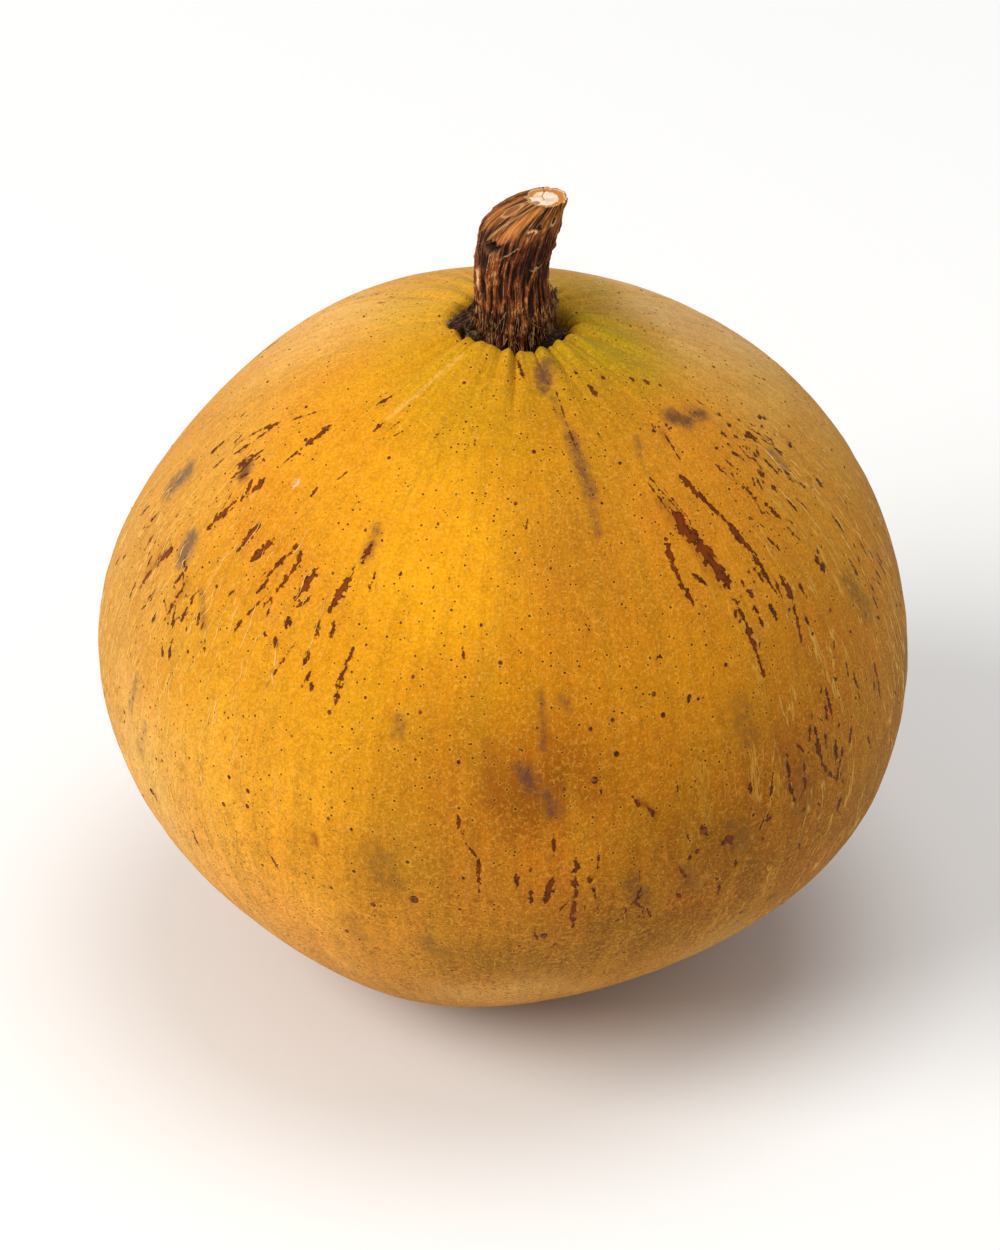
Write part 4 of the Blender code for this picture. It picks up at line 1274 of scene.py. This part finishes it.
def make_sheet(name, rows, columns, point, thickness, material):
    """A thin piece over a grid. The point function gives a place and what the material reads there."""
    grid = [point(column / columns, row / rows) for row in range(rows + 1) for column in range(columns + 1)]
    faces = []
    for row in range(rows):
        for column in range(columns):
            start = row * (columns + 1) + column
            faces.append((start, start + 1, start + columns + 2, start + columns + 1))
    mesh = bpy.data.meshes.new(name)
    mesh.from_pydata([tuple(place) for place, _ in grid], [], faces)
    give_attribute(mesh, "sheet", np.array([reading for _, reading in grid], dtype=float))
    mesh.materials.append(material)
    piece = add_object(name, mesh)
    wall = piece.modifiers.new("thickness", "SOLIDIFY")
    wall.thickness = thickness
    wall.offset = 0
    solid = settled_mesh(piece)
    piece.modifiers.clear()
    piece.data = solid
    solid.shade_smooth()
    return piece


def make_lobe(number, size, material):
    def point(column, row):
        across = 2 * column - 1
        return lobe_point(number, across, row, *size), (across, row, number)

    lobe = make_sheet(f"calyx_scrap_{number}", 70, 40, point, CALYX_THICKNESS * 0.55, material)
    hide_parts(f"calyx_lobe_{number}")
    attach(lobe, "root")


def write_calyx(pad, shader):
    across, along, number = pad.read_three("sheet")
    place = pad.own_mm()
    rib = pad.noise(pad.combine(across * 9, along * 1.5, number * 3), 1.0, 3.0, 0.6)
    patch = pad.noise(place, 1.3, 3.0, 0.6)
    colour = pad.blend(pad.ramp(rib, 0.36, 0.66), (0.014, 0.006, 0.003, 1), (0.13, 0.062, 0.026, 1))
    colour = pad.blend(pad.ramp(patch, 0.52, 0.68) * 0.6, colour, (0.30, 0.19, 0.105, 1))
    tip = pad.ramp(along + (patch - 0.5) * 0.4, 0.88, 1.0)
    colour = pad.blend(tip * 0.5, colour, (0.40, 0.27, 0.16, 1))
    # painted shade: the calyx lobes and scraps darken towards their roots, low in the pit
    colour = pad.scale(colour, pad.ramp(pad.split(place)[2], 77.2, 80.2, 0.22, 1.0))      # dark in the pit
    pad.paint(shader, rib * 0.12 + patch * 0.08, Base_Color=colour, Roughness=0.80 + rib * 0.15,
              Specular_IOR_Level=0.2)


calyx_material, calyx_pad, calyx_shader = new_material("dried_calyx")
write_calyx(calyx_pad, calyx_shader)
for lobe_number, lobe_size in enumerate(CALYX_LOBES, start=1):
    make_lobe(lobe_number, lobe_size, calyx_material)
print("calyx lobes made:", len(CALYX_LOBES))

# %% [markdown]
# Three smaller scraps of the same dried tissue cling between the stem and the lip: a wedge of
# matted fibre on the left, a curl with a pale edge in front on the right, and a dark point that
# stands up behind. Each is a sheet stretched between four corners and torn at its edges.

# %% Make the scraps
# four corners in mm, going round: two at the stem, then two away from it
SCRAPS = (
    ((-3.0, -1.5, 77.0), (-3.1, -0.4, 81.3), (-5.9, -0.8, 79.1), (-5.2, -1.6, 78.0)),
    ((3.4, -3.8, 76.8), (4.9, -2.3, 78.9), (6.9, -1.7, 78.9), (5.9, -2.8, 77.4)),
    ((4.6, 1.6, 78.2), (4.9, 1.7, 81.0), (5.9, 1.9, 82.1), (6.1, 2.2, 79.4)),
    ((-1.9, -4.1, 76.6), (-2.4, -3.3, 79.6), (-3.9, -3.0, 79.3), (-3.4, -4.0, 77.2)),
)


def make_scrap(number, corners, material):
    root_low, root_high, tip_high, tip_low = (Vector(corner) for corner in corners)
    across = (root_high - root_low).cross(tip_low - root_low).normalized()

    def point(out, up):
        torn = 0.22 * noise.noise(Vector((up * 5, number * 4, 1)))
        torn += 0.12 * noise.noise(Vector((up * 17, number, 8)))
        reach = out * (1 + torn)
        edge = 0.14 * noise.noise(Vector((out * 6, number * 3, 4 if up > 0.5 else 9)))
        height = up + (up - 0.5) * 2 * edge
        place = root_low.lerp(tip_low, reach).lerp(root_high.lerp(tip_high, reach), height)
        crumple = 0.28 * noise.noise(Vector((out * 2.2, up * 2.6, number * 5)))
        crumple += 0.10 * noise.noise(Vector((out * 4, up * 13, number * 5)))
        return (place + across * crumple) * MM, (up * 2 - 1, out, number + 5)

    scrap = make_sheet(f"calyx_shred_{number}", 44, 44, point, 0.14 * MM, material)
    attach(scrap, "root")


for scrap_number, scrap_corners in enumerate(SCRAPS, start=1):
    make_scrap(scrap_number, scrap_corners, calyx_material)
print("scraps made:", len(SCRAPS))

# %% [markdown]
# ## Floor, light and camera
# The fruit stands on a plain, level, pale floor in soft light from the upper left. The camera
# looks down on it from about a third of the way up.

# %% Floor
def make_floor():
    floor_shape = bmesh.new()
    bmesh.ops.create_grid(floor_shape, x_segments=2, y_segments=2, size=6)
    mesh = bpy.data.meshes.new("studio_floor")
    floor_shape.to_mesh(mesh)
    floor_shape.free()
    floor = add_object("studio_floor", mesh)
    floor.location.z = -0.05 * MM
    material, pad, shader = new_material("pale_floor")
    pad.paint(shader, Base_Color=(0.88, 0.88, 0.87, 1), Roughness=0.9, Specular_IOR_Level=0.1)
    mesh.materials.append(material)


make_floor()


# %% Light
def add_light(name, place, aim, size, power, colour=(1, 1, 1)):
    lamp = bpy.data.lights.new(name, "AREA")
    lamp.shape = "DISK"
    lamp.size = size
    lamp.energy = power
    lamp.color = colour
    holder = add_object(name, lamp)
    holder.location = place
    holder.rotation_euler = (Vector(aim) - Vector(place)).to_track_quat("-Z", "Y").to_euler()


middle = Vector((0, 0, FOOT_LEVEL))
add_light("key_light", (-1.25, -0.70, 1.15), middle, 1.2, 27, (1, 0.99, 0.97))
add_light("top_light", (0.2, 0.1, 1.5), middle, 1.0, 8)
world = bpy.data.worlds.new("studio_air")
world.use_nodes = True
air = world.node_tree.nodes["Background"]
air.inputs["Color"].default_value = (1, 1, 1, 1)
air.inputs["Strength"].default_value = 0.42
bpy.context.scene.world = world
bpy.context.scene.view_settings.view_transform = "Standard"

# %% Camera
CAMERA_RISE = math.radians(33.2)
CAMERA_DISTANCE = 0.6
SENSOR_WIDTH = 36
LENS_LENGTH = 193.2
AIM_LEFT, AIM_UP = 0.15 * MM, 0.67 * MM      # how far off the fruit's middle the camera looks
camera_data = bpy.data.cameras.new("camera")
camera_data.sensor_fit = "HORIZONTAL"
camera_data.sensor_width = SENSOR_WIDTH
camera_data.lens = LENS_LENGTH
camera_data.clip_end = 50
camera = add_object("camera", camera_data)
rise_sine, rise_cosine = math.sin(CAMERA_RISE), math.cos(CAMERA_RISE)
aim = Vector((-AIM_LEFT, 0, FOOT_LEVEL)) + AIM_UP * Vector((0, rise_sine, rise_cosine))
camera.location = aim + CAMERA_DISTANCE * Vector((0, -rise_cosine, rise_sine))
camera.rotation_euler = (math.pi / 2 - CAMERA_RISE, 0, 0)
bpy.context.scene.camera = camera
